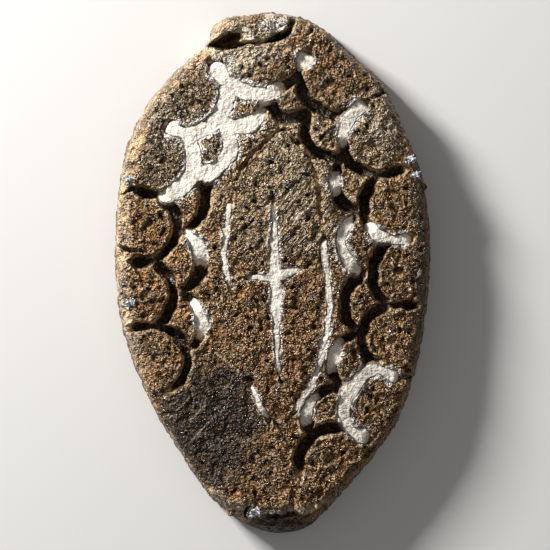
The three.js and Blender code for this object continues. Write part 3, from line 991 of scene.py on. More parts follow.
@dataclass(frozen=True)
class Relief:
    """All that is cut, chipped and worn into the face."""

    drawing: Drawing
    strokes: tuple[Stroke, ...]
    wear: Wear
    tones: Tones
    width_sway: float = 0.3
    depth_sway: float = 0.3
    wall_start: float = 0.5
    wall_end: float = 1.04
    pillow_drop: float = 0.14
    pillow_reach: float = 0.34
    burr_height: float = 0.17
    burr_place: float = 0.07
    burr_reach: float = 0.13
    lumps: ClassVar[Layers] = ((5.0, 0.1), (1.6, 0.09), (0.75, 0.11), (0.4, 0.11), (0.26, 0.08))
    crumbs: ClassVar[Layers] = ((1.0, 0.38), (0.45, 0.2))

    # The size and the depth of the pits, and how uneven the field is where they start
    pits: ClassVar[tuple[tuple[float, float, float], ...]] = ((0.5, 0.2, 0.3), (1.2, 0.12, 0.25))

    # How the drawn lines wobble: the wavelength, the amount and the field
    wobbles: ClassVar[tuple[tuple[float, float, Field], ...]] = (
        (1.3, 0.17, Field.EDGE_WOBBLE), (0.42, 0.09, Field.BURR_WOBBLE),
    )

    def warped(self, points: np.ndarray) -> np.ndarray:
        """Flat places moved a little, so that what is drawn by them has an uneven edge.

        Args:
            points: Rows that start with x and y in millimetres.

        Returns:
            Rows of the moved x and y.
        """
        flat = points[:, :2].copy()
        level = levelled(points)
        for wavelength, amount, field in self.wobbles:
            flat[:, 0] += amount * unevenness(level, wavelength, field)
            flat[:, 1] += amount * unevenness(level, wavelength, field + 1)
        return flat

    def widening(self, flat: np.ndarray) -> np.ndarray:
        """How many times as wide as drawn the cuts are at flat places."""
        return 1 + self.width_sway * unevenness(levelled(flat), 1.7, Field.CUT_WIDTH)

    def cuts_at(self, flat: np.ndarray) -> tuple[np.ndarray, np.ndarray, np.ndarray]:
        """What the strokes do at flat places.

        Args:
            flat: Rows of x and y in millimetres.

        Returns:
            The depth cut away, the distance to the nearest cut's edge, negative inside it, and how near the
            middle of a cut a place is, from 0 at its edge to 1.
        """
        wide = self.widening(flat)
        deeper = 1 + self.depth_sway * unevenness(levelled(flat), 2.4, Field.CUT_DEPTH)
        depth, middle, edge = np.zeros(len(flat)), np.zeros(len(flat)), np.full(len(flat), FAR_FROM_CUTS)
        for stroke in (*self.strokes, *self.wear.hollows()):
            held = stroke.near(flat)
            away, half, deep, _ = stroke.nearest(flat[held])
            half = half * wide[held]
            wall = deep * deeper[held] * (1 - smooth_share(self.wall_start, self.wall_end, away / half))
            depth[held] = np.maximum(depth[held], wall)
            edge[held] = np.minimum(edge[held], away - half)
            middle[held] = np.maximum(middle[held], 1 - away / half)
        return depth, edge, middle

    def burr(self, points: np.ndarray, edge: np.ndarray) -> np.ndarray:
        """How strongly the burr beside a cut shows at points, from 0 to 1, from the distance to its edge."""
        beside = np.exp(-(((edge - self.burr_place) / self.burr_reach) ** 2))
        return beside * smooth_share(-0.25, 0.25, unevenness(levelled(points), 1.1, Field.BURRS))

    def loss(self, points: np.ndarray) -> np.ndarray:
        """How far cutting and wear have let the face down at points, in millimetres.

        Args:
            points: Rows of x, y and z in millimetres.

        Returns:
            One depth for each point.
        """
        depth, edge, _ = self.cuts_at(self.warped(points))
        pillow = self.pillow_drop * np.exp(-np.maximum(edge, 0.0) / self.pillow_reach)
        burr = self.burr_height * self.burr(points, edge)
        return np.maximum(depth + pillow - burr, 0.0) + self.wear.broken_away(points)

    @staticmethod
    def lowered(fall: np.ndarray, wanted: np.ndarray) -> np.ndarray:
        """How far below the crown a surface lies that has fallen and is then cut, in millimetres."""
        joined = (fall**4 + wanted**4) ** 0.25
        return fall + (joined - fall) * smooth_share(2.6, 1.2, fall)

    def carved(self, points: np.ndarray) -> np.ndarray:
        """Points of the smooth casting, let down to where the worn and cut face lies.

        Args:
            points: Rows of x, y and z in millimetres.

        Returns:
            Rows of x, y and the new z.
        """
        face = self.drawing.face_height(points[:, 0], points[:, 1])
        fall = np.maximum(face - points[:, 2], 0.0)
        moved = points.copy()
        lower = face - self.lowered(fall, self.loss(points))
        moved[:, 2] = np.where(points[:, 2] > face, points[:, 2], lower)
        return moved

    def surface(self, points: np.ndarray) -> np.ndarray:
        """The height of the worn and cut lead at flat places.

        Args:
            points: Rows that start with x and y in millimetres.

        Returns:
            One height for each place, in millimetres.
        """
        face = self.drawing.face_height(points[:, 0], points[:, 1])
        fall = face - self.drawing.rounded_height(points)
        height = face - self.lowered(fall, self.loss(levelled(points)))
        return height + self.roughness(np.column_stack([points[:, :2], height]))

    def worn_rim(self, points: np.ndarray) -> np.ndarray:
        """Where the left rim and the lug's arch are worn smooth and painted pale, partly as wear and partly
        as painted light on the side that faces the lamp, from 0 to 1.

        Args:
            points: Rows of x, y and z in millimetres.

        Returns:
            One share for each point.
        """
        shares = points[:, :2] / (self.drawing.half_width, self.drawing.half_length)
        inset = self.drawing.inset(points) + 0.25 * unevenness(points, 1.2, Field.WORN_RIM)
        near = smooth_share(1.5, 0.9, inset)
        left = smooth_share(-0.1, -0.35, shares[:, 0]) * smooth_share(-0.5, -0.2, shares[:, 1])
        return near * left * smooth_share(1.0, 2.2, points[:, 2])

    def roughness(self, points: np.ndarray) -> np.ndarray:
        """How far the corroded skin stands out or in, in millimetres.

        Args:
            points: Rows of x, y and z in millimetres.

        Returns:
            One distance for each point, negative inwards.
        """
        total = layered(points, self.lumps, Field.SKIN)
        for number, (size, depth, start) in enumerate(self.pits):
            total -= depth * smooth_share(start, start + 0.35, unevenness(points, size, Field.PITS + number))
        crumbling = smooth_share(-1.8, -0.2, self.wear.beyond_foot(points))
        crumbling *= smooth_share(1.5, 2.5, points[:, 2])
        total += crumbling * layered(points, self.crumbs, Field.CRUMBS)
        calm = np.maximum(0.4 * self.worn_rim(points), 0.55 * self.tones.share("dark", points))
        return total * (1 - calm) + self.wear.file_marks(points)


@dataclass(frozen=True)
class Eye:
    """The lug's eye, a slanting oval with a worn mouth, and the plug of soil in it."""

    mouth: tuple[float, float] = (1.12, 0.42)
    plug: tuple[float, float] = (1.2, 0.5)
    tilt: float = 24.0
    shift: float = 0.15

    def middle(self) -> tuple[float, float]:
        """Its middle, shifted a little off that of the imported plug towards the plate, in millimetres.

        Returns:
            Its x and y.
        """
        low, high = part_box("soil_plug_in_eye")
        middle = (low + high) / 2 / MM
        return middle.x, middle.y - self.shift


@dataclass(frozen=True)
class Casting:
    """The worn lead casting, which the joint line parts into the plate and the suspension lug."""

    drawing: Drawing
    relief: Relief
    tablet: Tablet = Tablet(220, 320, 12)
    shoulder_turns: tuple[float, ...] = (30, 18, 6, 0)
    side_heights: tuple[float, ...] = (0.86, 0.7, 0.54, 0.38, 0.22, 0.1, 0.0)
    joint_gap: float = 0.05
    joint_wobble: float = 0.05
    eye: Eye = Eye()
    bulge_rounds: int = 12
    bulge_gain: float = 9.0
    dust_margin: float = 1.0
    dust_top: float = 0.9
    tool_length: float = 8.0
    sharp_edge: float = 75.0

    def rings(self) -> list[tuple[np.ndarray, Height]]:
        """The rings from the face's edge down to the back.

        Returns:
            For each ring the inset at each outline point, and the height as a function of x and y.
        """
        d = self.drawing
        line = d.outline()
        wide = d.shoulder_width(line[:, 1])
        found = []
        for turn in np.radians(self.shoulder_turns):
            found.append((d.side_draft + wide * (1 - math.cos(turn)), self.shoulder_height(math.sin(turn))))
        for share in self.side_heights:
            found.append((np.full(len(line), d.side_draft * share), self.side_height(share)))
        rounded = d.back_chamfer * 0.4
        found.append((np.full(len(line), d.back_chamfer * 0.5), lambda x, y: np.full(len(x), rounded)))
        for inset in (d.back_chamfer, d.back_chamfer + 0.5):
            found.append((np.full(len(line), inset), lambda x, y: np.zeros(len(x))))
        return found

    def shoulder_height(self, rise: float) -> Height:
        """The height of the shoulder where it has risen by a share of its drop."""
        d = self.drawing
        return lambda x, y: d.face_height(x, y) - d.shoulder_drop_share * d.shoulder_width(y) * (1 - rise)

    def side_height(self, share: float) -> Height:
        """The height of the drafted side at a share of the way up from the back chamfer.

        Args:
            share: That share.

        Returns:
            The height as a function of x and y.
        """
        top = self.shoulder_height(0.0)
        low = self.drawing.back_chamfer
        return lambda x, y: low + (top(x, y) - low) * share

    def smooth_points(self, held: np.ndarray) -> np.ndarray:
        """Places the tablet's vertices on the smooth casting.

        Args:
            held: Rows of where each vertex is on the tablet.

        Returns:
            Rows of x, y and z in millimetres.
        """
        d = self.drawing
        line = d.outline()
        out = -across(line, closed=True)
        share, turn = Tablet.round_place(held[:, :2])
        ring = np.rint(-held[:, 2]).astype(int)
        placed = np.zeros((len(held), 3))
        for number, (inset, height) in enumerate(self.rings()):
            at = ring == number
            drawn = line - out * inset[:, None]
            shares = drawn / (d.half_width, d.half_length)
            angle = np.arctan2(shares[:, 1], shares[:, 0])
            order = np.argsort(angle)
            radius = np.interp(turn[at], angle[order], np.hypot(*shares.T)[order], period=2 * math.pi)
            placed[at, 0] = share[at] * radius * np.cos(turn[at]) * d.half_width
            placed[at, 1] = share[at] * radius * np.sin(turn[at]) * d.half_length
            placed[at, 2] = height(placed[at, 0], placed[at, 1])
        face = ring == 0
        placed[face, 2] = d.rounded_height(placed[face])
        return placed

    def whole(self) -> bpy.types.Mesh:
        """The whole worn casting, before it is parted.

        Returns:
            Its mesh, in millimetres.
        """
        mesh = self.tablet.mesh("casting")
        points = self.relief.carved(self.smooth_points(mesh_points(mesh)))
        set_mesh_points(mesh, points)
        points += mesh_normals(mesh) * self.relief.roughness(points)[:, None]
        points[:, 2] = np.maximum(points[:, 2], 0.0)
        set_mesh_points(mesh, points)
        return mesh

    def lug_block(self, shift: float) -> bpy.types.Object:
        """A tall block over all that lies above the joint line, moved up off it by a shift.

        Args:
            shift: How far it is moved, in millimetres.

        Returns:
            The block.
        """
        d = self.drawing
        line = smooth_line(d.place(d.joint_shares), 60)
        wobble = self.joint_wobble * unevenness(levelled(line), 0.6, Field.JOINT)
        line = line - across(line) * (shift + wobble[:, None])
        far = 2 * d.half_length
        corners = [(line[-1, 0], far), (-far, far), (-far, line[0, 1])]
        bm = bmesh.new()
        rim = [bm.verts.new((x, y, -1.0)) for x, y in [*line, *corners]]
        base = bm.faces.new(rim)
        top = bmesh.ops.extrude_face_region(bm, geom=[base])["geom"]
        lifted = [v for v in top if isinstance(v, bmesh.types.BMVert)]
        bmesh.ops.translate(bm, verts=lifted, vec=(0, 0, self.tool_length))
        bmesh.ops.recalc_face_normals(bm, faces=bm.faces)
        return scene_object("lug_block", mesh_of(bm, "lug_block"))

    def eye_rod(self) -> bpy.types.Object:
        """The oval rod that opens the lug's eye.

        Returns:
            The rod.
        """
        bm = bmesh.new()
        bmesh.ops.create_cone(
            bm, cap_ends=True, segments=40, radius1=1, radius2=1, depth=self.tool_length
        )
        bmesh.ops.scale(bm, verts=bm.verts, vec=(*self.eye.mouth, 1))
        bmesh.ops.rotate(bm, verts=bm.verts, matrix=Matrix.Rotation(math.radians(self.eye.tilt), 3, "Z"))
        bmesh.ops.translate(bm, verts=bm.verts, vec=(*self.eye.middle(), 2))
        return scene_object("eye_rod", mesh_of(bm, "eye_rod"))

    def parted(self, whole: bpy.types.Mesh, operation: str, shift: float) -> bpy.types.Mesh:
        """One side of the joint, with the eye opened.

        Args:
            whole: The whole casting.
            operation: DIFFERENCE for the plate, INTERSECT for the lug.
            shift: How far the block is moved off the joint line.

        Returns:
            The mesh of that side.
        """
        piece = scene_object("side", whole.copy())
        tools = [(self.lug_block(shift), operation), (self.eye_rod(), "DIFFERENCE")]
        for tool, kind in tools:
            cut = piece.modifiers.new("cut", "BOOLEAN")
            cut.operation, cut.solver, cut.object = kind, "MANIFOLD", tool
        made = applied(piece)
        for tool, _ in tools:
            bpy.data.objects.remove(tool)
        return made

    def dust(self, points: np.ndarray, flat: np.ndarray, fills: Sequence[ChalkFill]) -> np.ndarray:
        """How thickly white dust lies round the filled cuts.

        Args:
            points: Rows of x, y and z in millimetres.
            flat: The same points' flat places, as the drawing's uneven edges have them.
            fills: The powder in the cuts.

        Returns:
            A share from 0 to 1 for each point.
        """
        total, wide = np.zeros(len(points)), self.relief.widening(flat)
        inner = smooth_share(0.5, 1.3, self.drawing.inset(points))
        for fill in fills:
            for stroke in fill.strokes:
                held = stroke.near(flat, self.dust_margin)
                distance, half, _, along = stroke.nearest(flat[held])
                beside = (distance - half * wide[held]) / fill.feather
                share = np.clip(self.dust_top * (1 - beside), 0, 1)
                total[held] = np.maximum(total[held], share * fill.fullness(stroke, along) * inner[held])
        return total

    def dress(self, mesh: bpy.types.Mesh, fills: Sequence[ChalkFill]) -> None:
        """Keeps on a mesh where it is cut, gritty, worn, toned and dusted with white, and where shade and
        highlights are painted.

        Args:
            mesh: The mesh.
            fills: The powder in the cuts.
        """
        wear, tones = self.relief.wear, self.relief.tones
        points, edges = mesh_points(mesh), mesh_edges(mesh)
        flat, on_face = self.relief.warped(points), smooth_share(1.8, 2.8, points[:, 2])
        depth, edge, middle = self.relief.cuts_at(flat)
        cut, rim = on_face * np.clip(depth, 0, 1), self.relief.worn_rim(points)
        bulge = self.bulge_gain * (points[:, 2] - relaxed(points[:, 2], edges, self.bulge_rounds))
        # The pale band along the foot's broken edge and the pale burrs beside the cuts are partly worn metal
        # and partly painted highlights
        lip = np.exp(-((wear.beyond_foot(points) + 0.15) / 0.4) ** 2) * on_face
        burr = 0.75 * self.relief.burr(points, edge) * on_face
        dust = np.maximum(self.dust(points, flat, fills), 0.55 * tones.share("veil", points))
        kept = {
            "cut": cut,
            # floor: where painted shade lies deep in the middle of the cuts
            "floor": smooth_share(0.25, 0.55, middle) * smooth_share(0.3, 0.6, cut),
            "grit": (1 - 0.8 * smooth_share(0.1, 0.3, cut)) * (1 - 0.4 * rim),
            # wear: paler worn metal on convex bulges, partly a painted highlight on the ridges
            "wear": np.clip(bulge, 0, 1) * on_face,
            # Painted shade in the dents
            "dent_shade": np.clip(-bulge, 0, 1) * on_face * (1 - smooth_share(0.05, 0.25, cut)),
            "filed": wear.filed(points) * on_face,
            "scratch": wear.scratched(points) * on_face,
            **{name: tones.share(name, points) for name in ("pale", "dark", "moss", "rust")},
            "rim": np.maximum(np.maximum(rim, lip), burr),
            "dust": on_face * dust,
        }
        for name, values in kept.items():
            set_attribute(mesh, name, values)

    def build(self, finish: bpy.types.Material, fills: Sequence[ChalkFill]) -> None:
        """Makes the plate and the lug.

        Args:
            finish: The finish.
            fills: The powder in the cuts.
        """
        whole = self.whole()
        for name, operation, shift in (
            ("matrix_plate", "DIFFERENCE", -self.joint_gap / 2),
            ("suspension_lug", "INTERSECT", self.joint_gap / 2),
        ):
            mesh = self.parted(whole, operation, shift)
            self.dress(mesh, fills)
            mesh.set_sharp_from_angle(angle=math.radians(self.sharp_edge))
            finished_piece(f"{name}_worn", mesh, finish, [name])


@dataclass(frozen=True)
class ChalkFill:
    """White powder that lies in one run of cuts and thins out at their edges and ends."""

    name: str
    strokes: tuple[Stroke, ...]
    raised: float = 0.0
    spacing: float = 0.085
    spill: float = 0.35
    feather: float = 0.7
    fade: float = 1.3
    fade_share: float = 0.35
    joined: float = 0.1
    sink: float = 1.1
    root: float = 0.25
    rim_fade: float = 1.3
    rim_bare: float = 0.5
    bare_depth: float = 2.0
    full_cover: float = 0.4
    edge_cover: float = 0.35
    edge_fade: float = 0.28
    bank_start: float = 0.25
    bank_slope: float = 2.5
    rim_clearance: float = 0.35
    lumps: ClassVar[Layers] = ((2.2, 0.1), (0.8, 0.07), (0.35, 0.035), (0.2, 0.02))

    def fullness(self, stroke: Stroke, along: np.ndarray) -> np.ndarray:
        """How full a cut is along its length, from 0 at an end where no other filled cut goes on to 1.

        Args:
            stroke: The filled cut.
            along: How far along it each place lies, in millimetres.

        Returns:
            One share for each place.
        """
        length = stroke.length()
        fade = min(self.fade, self.fade_share * length)
        full = np.ones(len(along))
        for tip, away in ((stroke.line[:1], along), (stroke.line[-1:], length - along)):
            others = [other.nearest(tip) for other in self.strokes if other is not stroke]
            if not any(distance[0] < half[0] + self.joined for distance, half, _, _ in others):
                full = np.minimum(full, np.clip(away / fade, 0, 1))
        return full

    def lie(self, flat: np.ndarray, wide: np.ndarray) -> tuple[np.ndarray, np.ndarray]:
        """How the powder lies in its cuts.

        Args:
            flat: Rows of x and y in millimetres.
            wide: How many times as wide as drawn the cuts are there.

        Returns:
            How far below the face its top is, and the distance to the nearest filled cut's edge.
        """
        below, edge = np.full(len(flat), self.bare_depth), np.full(len(flat), FAR_FROM_CUTS)
        for stroke in self.strokes:
            held = stroke.near(flat)
            away, half, _, along = stroke.nearest(flat[held])
            beside = np.maximum(away - half * wide[held], 0.0)
            bank = beside + self.bank_slope * np.maximum(beside - self.bank_start, 0.0)
            thin = self.sink * (1 - self.fullness(stroke, along)) ** 2
            below[held] = np.minimum(below[held], stroke.recess - self.raised + thin + bank)
            edge[held] = np.minimum(edge[held], away - half * wide[held])
        return below, edge

    def sheet(self, relief: Relief) -> bpy.types.Mesh:
        """A flat closed sheet over the filled cuts, whose lower side lies one unit down.

        Args:
            relief: The worn and cut face.

        Returns:
            The sheet's mesh.
        """
        reach = [stroke.half.max() + self.spill for stroke in self.strokes]
        low = np.min([stroke.line.min(0) - r for stroke, r in zip(self.strokes, reach)], axis=0)
        high = np.max([stroke.line.max(0) + r for stroke, r in zip(self.strokes, reach)], axis=0)
        steps = np.ceil((high - low) / self.spacing).astype(int)
        placing = Matrix.Translation((*(low + high) / 2, 0)) @ Matrix.Diagonal((*(high - low) / 2, 1, 1))
        bm = bmesh.new()
        bmesh.ops.create_grid(bm, x_segments=int(steps[0]), y_segments=int(steps[1]), size=1, matrix=placing)
        points = np.array([tuple(v.co) for v in bm.verts])
        flat = relief.warped(points)
        edge = self.lie(flat, relief.widening(flat))[1]
        kept = (edge < self.spill) & (relief.drawing.inset(points) > self.rim_clearance)
        bmesh.ops.delete(bm, geom=[v for v, stays in zip(bm.verts, kept) if not stays], context="VERTS")
        bmesh.ops.delete(bm, geom=[v for v in bm.verts if not v.link_faces], context="VERTS")
        made = bmesh.ops.extrude_face_region(bm, geom=list(bm.faces))["geom"]
        lower = [v for v in made if isinstance(v, bmesh.types.BMVert)]
        bmesh.ops.translate(bm, verts=lower, vec=(0, 0, -1))
        bmesh.ops.recalc_face_normals(bm, faces=bm.faces)
        return mesh_of(bm, self.name)

    def mesh(self, relief: Relief) -> bpy.types.Mesh:
        """The powder as one soft closed body, which keeps how thickly it covers the lead below.

        Args:
            relief: The worn and cut face.

        Returns:
            The body's mesh, in millimetres.
        """
        mesh = self.sheet(relief)
        points = mesh_points(mesh)
        flat, lead = relief.warped(points), relief.surface(points)
        below, edge = self.lie(flat, relief.widening(flat))
        below += self.sink * smooth_share(self.rim_fade, self.rim_bare, relief.drawing.inset(points))
        top = relief.drawing.rounded_height(points) - below
        top += layered(levelled(points), self.lumps, Field.POWDER)
        points[:, 2] = np.where(points[:, 2] < -0.5, np.minimum(lead, top) - self.root, top)
        set_mesh_points(mesh, points)
        cover = np.clip((top - lead) / self.full_cover, 0, 1)
        set_attribute(mesh, "cover", cover * np.clip(self.edge_cover - edge / self.edge_fade, 0, 1))
        return mesh

    def build(self, relief: Relief, finish: bpy.types.Material) -> None:
        """Makes the powder's piece."""
        finished_piece(f"{self.name}_powder", self.mesh(relief), finish, [self.name])


def border_fills(drawing: Drawing) -> list[ChalkFill]:
    """The white that lies in the border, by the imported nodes' names.

    Args:
        drawing: The plate's drawing.

    Returns:
        The powder of each of these nodes.
    """
    inner, outer, dart = Row.INNER, Row.OUTER, Row.DART
    heaped = ("upper_left", "head_dart", "upper_right_dart", "lower_right_dart")
    plan: dict[str, list[tuple[Row, int, float, float]]] = {
        "upper_left": [
            (inner, 3, 0, 1), (inner, 4, 0, 0.8), (outer, 3, 0, 1), (outer, 4, 0, 1), (outer, 5, 0, 0.75),
            (dart, 3, 0, 1), (dart, 4, 0, 1),
        ],
        "left_scale": [(inner, 1, 0.42, 1)],
        "left_foot_scale": [(inner, 0, 0.2, 0.8)],
        "head_dart": [(dart, 5, 0, 1)],
        "upper_right_dart": [(outer, 7, 0, 0.4), (dart, 6, 0, 1)],
        "upper_right_scale": [(inner, 7, 0.25, 0.6)],
        "right_dart": [(outer, 8, 0.6, 1), (dart, 8, 0, 1)],
        "right_scale": [(inner, 8, 0.1, 0.9)],
        "lower_right_scale": [(inner, 10, 0.25, 0.75)],
        "lower_right_dart": [(outer, 11, 0, 1), (dart, 10, 0, 1), (dart, 11, 0, 1)],
        "foot_scale": [(inner, 11, 0.35, 0.85)],
    }
    return [
        ChalkFill(
            f"white_fill_{name}",
            tuple(drawing.border_stroke(row, at).stretch(start, end) for row, at, start, end in parts),
            raised=0.15 if name in heaped else 0.06,
        )
        for name, parts in plan.items()
    ]


def field_fills(drawing: Drawing) -> list[ChalkFill]:
    """The white that lies in the star and in the lines that frame the field.

    Args:
        drawing: The plate's drawing.

    Returns:
        The powder of the star and of each line.
    """
    fills = [ChalkFill("white_fill_star", tuple(drawing.star_strokes()), raised=0.07, feather=0.45)]
    for name, stroke in drawing.field_strokes().items():
        fills.append(ChalkFill(f"white_fill_field_{name}", (stroke,), raised=0.03, spacing=0.07, feather=0.3))
    return fills


@dataclass(frozen=True)
class SoilPlug:
    """Dark soil packed in the lug's eye, deep under the arch and level with the lead on the far side."""

    relief: Relief
    eye: Eye = Eye()
    tablet: Tablet = Tablet(36, 24, 8, 2)
    deep: float = 0.5
    lumps: ClassVar[Layers] = ((0.5, 0.1), (0.2, 0.05))

    def build(self, finish: bpy.types.Material) -> None:
        """Makes the plug.

        Args:
            finish: The finish.
        """
        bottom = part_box("soil_plug_in_eye")[0].z / MM
        mesh = self.tablet.mesh("soil_plug")
        held = mesh_points(mesh)
        share, turn = Tablet.round_place(held[:, :2])
        depth = np.clip(-held[:, 2] / (self.tablet.rings + 1), 0, 1)
        flat = np.column_stack([share * np.cos(turn), share * np.sin(turn)]) * self.eye.plug
        angle = math.radians(self.eye.tilt)
        flat = flat @ [[math.cos(angle), math.sin(angle)], [-math.sin(angle), math.cos(angle)]]
        points = np.column_stack([flat + self.eye.middle(), held[:, 2]])
        towards = (flat[:, 0] * 0.35 - flat[:, 1]) / self.eye.plug[1]
        top = self.relief.surface(points) - self.deep * smooth_share(0.5, -0.5, towards)
        points[:, 2] = top + (bottom - top) * depth
        points[:, 2] += layered(points, self.lumps, Field.PLUG)
        set_mesh_points(mesh, points)
        finished_piece("soil_plug_in_eye_earth", mesh, finish, ["soil_plug_in_eye"])


@dataclass(frozen=True)
class Grain:
    """A rounded, pitted grain of soil that clings to the rim."""

    node: str
    seed: int
    relief: Relief
    fit: float = 0.95
    pit_size: float = 0.3
    pit_depth: float = 0.05

    def middle(self) -> Vector:
        """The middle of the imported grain, in millimetres, lifted out of the lead where it would be buried.

        Returns:
            The middle.
        """
        low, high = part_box(self.node)
        middle = (low + high) / 2 / MM
        middle.z = max(middle.z, float(self.relief.surface(np.array([middle]))[0]))
        return middle

    def reach(self) -> Vector:
        """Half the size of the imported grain, in millimetres."""
        low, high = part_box(self.node)
        return (high - low) / 2 / MM

    def mesh(self) -> bpy.types.Mesh:
        """The grain as a mesh.

        Returns:
            The mesh, in millimetres.
        """
        bm = bmesh.new()
        bmesh.ops.create_icosphere(bm, subdivisions=5, radius=1)
        mesh = mesh_of(bm, self.node)
        points = mesh_points(mesh) * tuple(self.reach() * self.fit) + tuple(self.middle())
        pits = self.pit_depth * unevenness(points, self.pit_size, self.seed)
        points += mesh_normals(mesh) * pits[:, None]
        set_mesh_points(mesh, points)
        return mesh

    def build(self, slot: str, finish: bpy.types.Material) -> None:
        """Makes the piece."""
        finished_piece(f"{self.node}_rough", self.mesh(), finish, [self.node])


@dataclass(frozen=True)
class Crust(Grain):
    """A crust of short splintery crystals that clings to the rim, with its sizes in millimetres."""

    growth: float = 1.5
    splinters: int = 22
    spread: float = 0.62
    core: float = 0.45
    lengths: tuple[float, float] = (0.3, 0.62)
    thicknesses: tuple[float, float] = (0.04, 0.1)
    taper: float = 0.35
    voxel: float = 0.035

    def mesh(self) -> bpy.types.Mesh:
        """The crust as a mesh.

        Returns:
            The mesh, in millimetres.
        """
        rng = np.random.default_rng(self.seed)
        middle, reach = self.middle(), self.reach() * self.growth
        bm = bmesh.new()
        for _ in range(self.splinters):
            shift = Vector(rng.uniform(-self.spread, self.spread, 3)) * reach
            turn = Matrix.Rotation(rng.uniform(0, math.pi), 3, Vector(rng.normal(size=3)).normalized())
            length, thick = rng.uniform(*self.lengths), rng.uniform(*self.thicknesses)
            made = bmesh.ops.create_cone(
                bm, cap_ends=True, segments=5, radius1=thick, radius2=thick * self.taper, depth=length
            )["verts"]
            bmesh.ops.rotate(bm, verts=made, matrix=turn)
            bmesh.ops.translate(bm, verts=made, vec=middle + shift)
        core = bmesh.ops.create_icosphere(bm, subdivisions=3, radius=1)["verts"]
        bmesh.ops.scale(bm, verts=core, vec=reach * self.core)
        bmesh.ops.translate(bm, verts=core, vec=middle)
        body = scene_object(self.node, mesh_of(bm, self.node))
        remesh = body.modifiers.new("remesh", "REMESH")
        remesh.mode, remesh.voxel_size = "VOXEL", self.voxel
        return applied(body)


def colour(red: int, green: int, blue: int) -> Colour:
    """A colour as the eye sees it, from 0 to 255 a channel, turned into light values."""
    shares = (red / 255, green / 255, blue / 255)
    return (*(c / 12.92 if c <= 0.04 else ((c + 0.055) / 1.055) ** 2.4 for c in shares), 1.0)


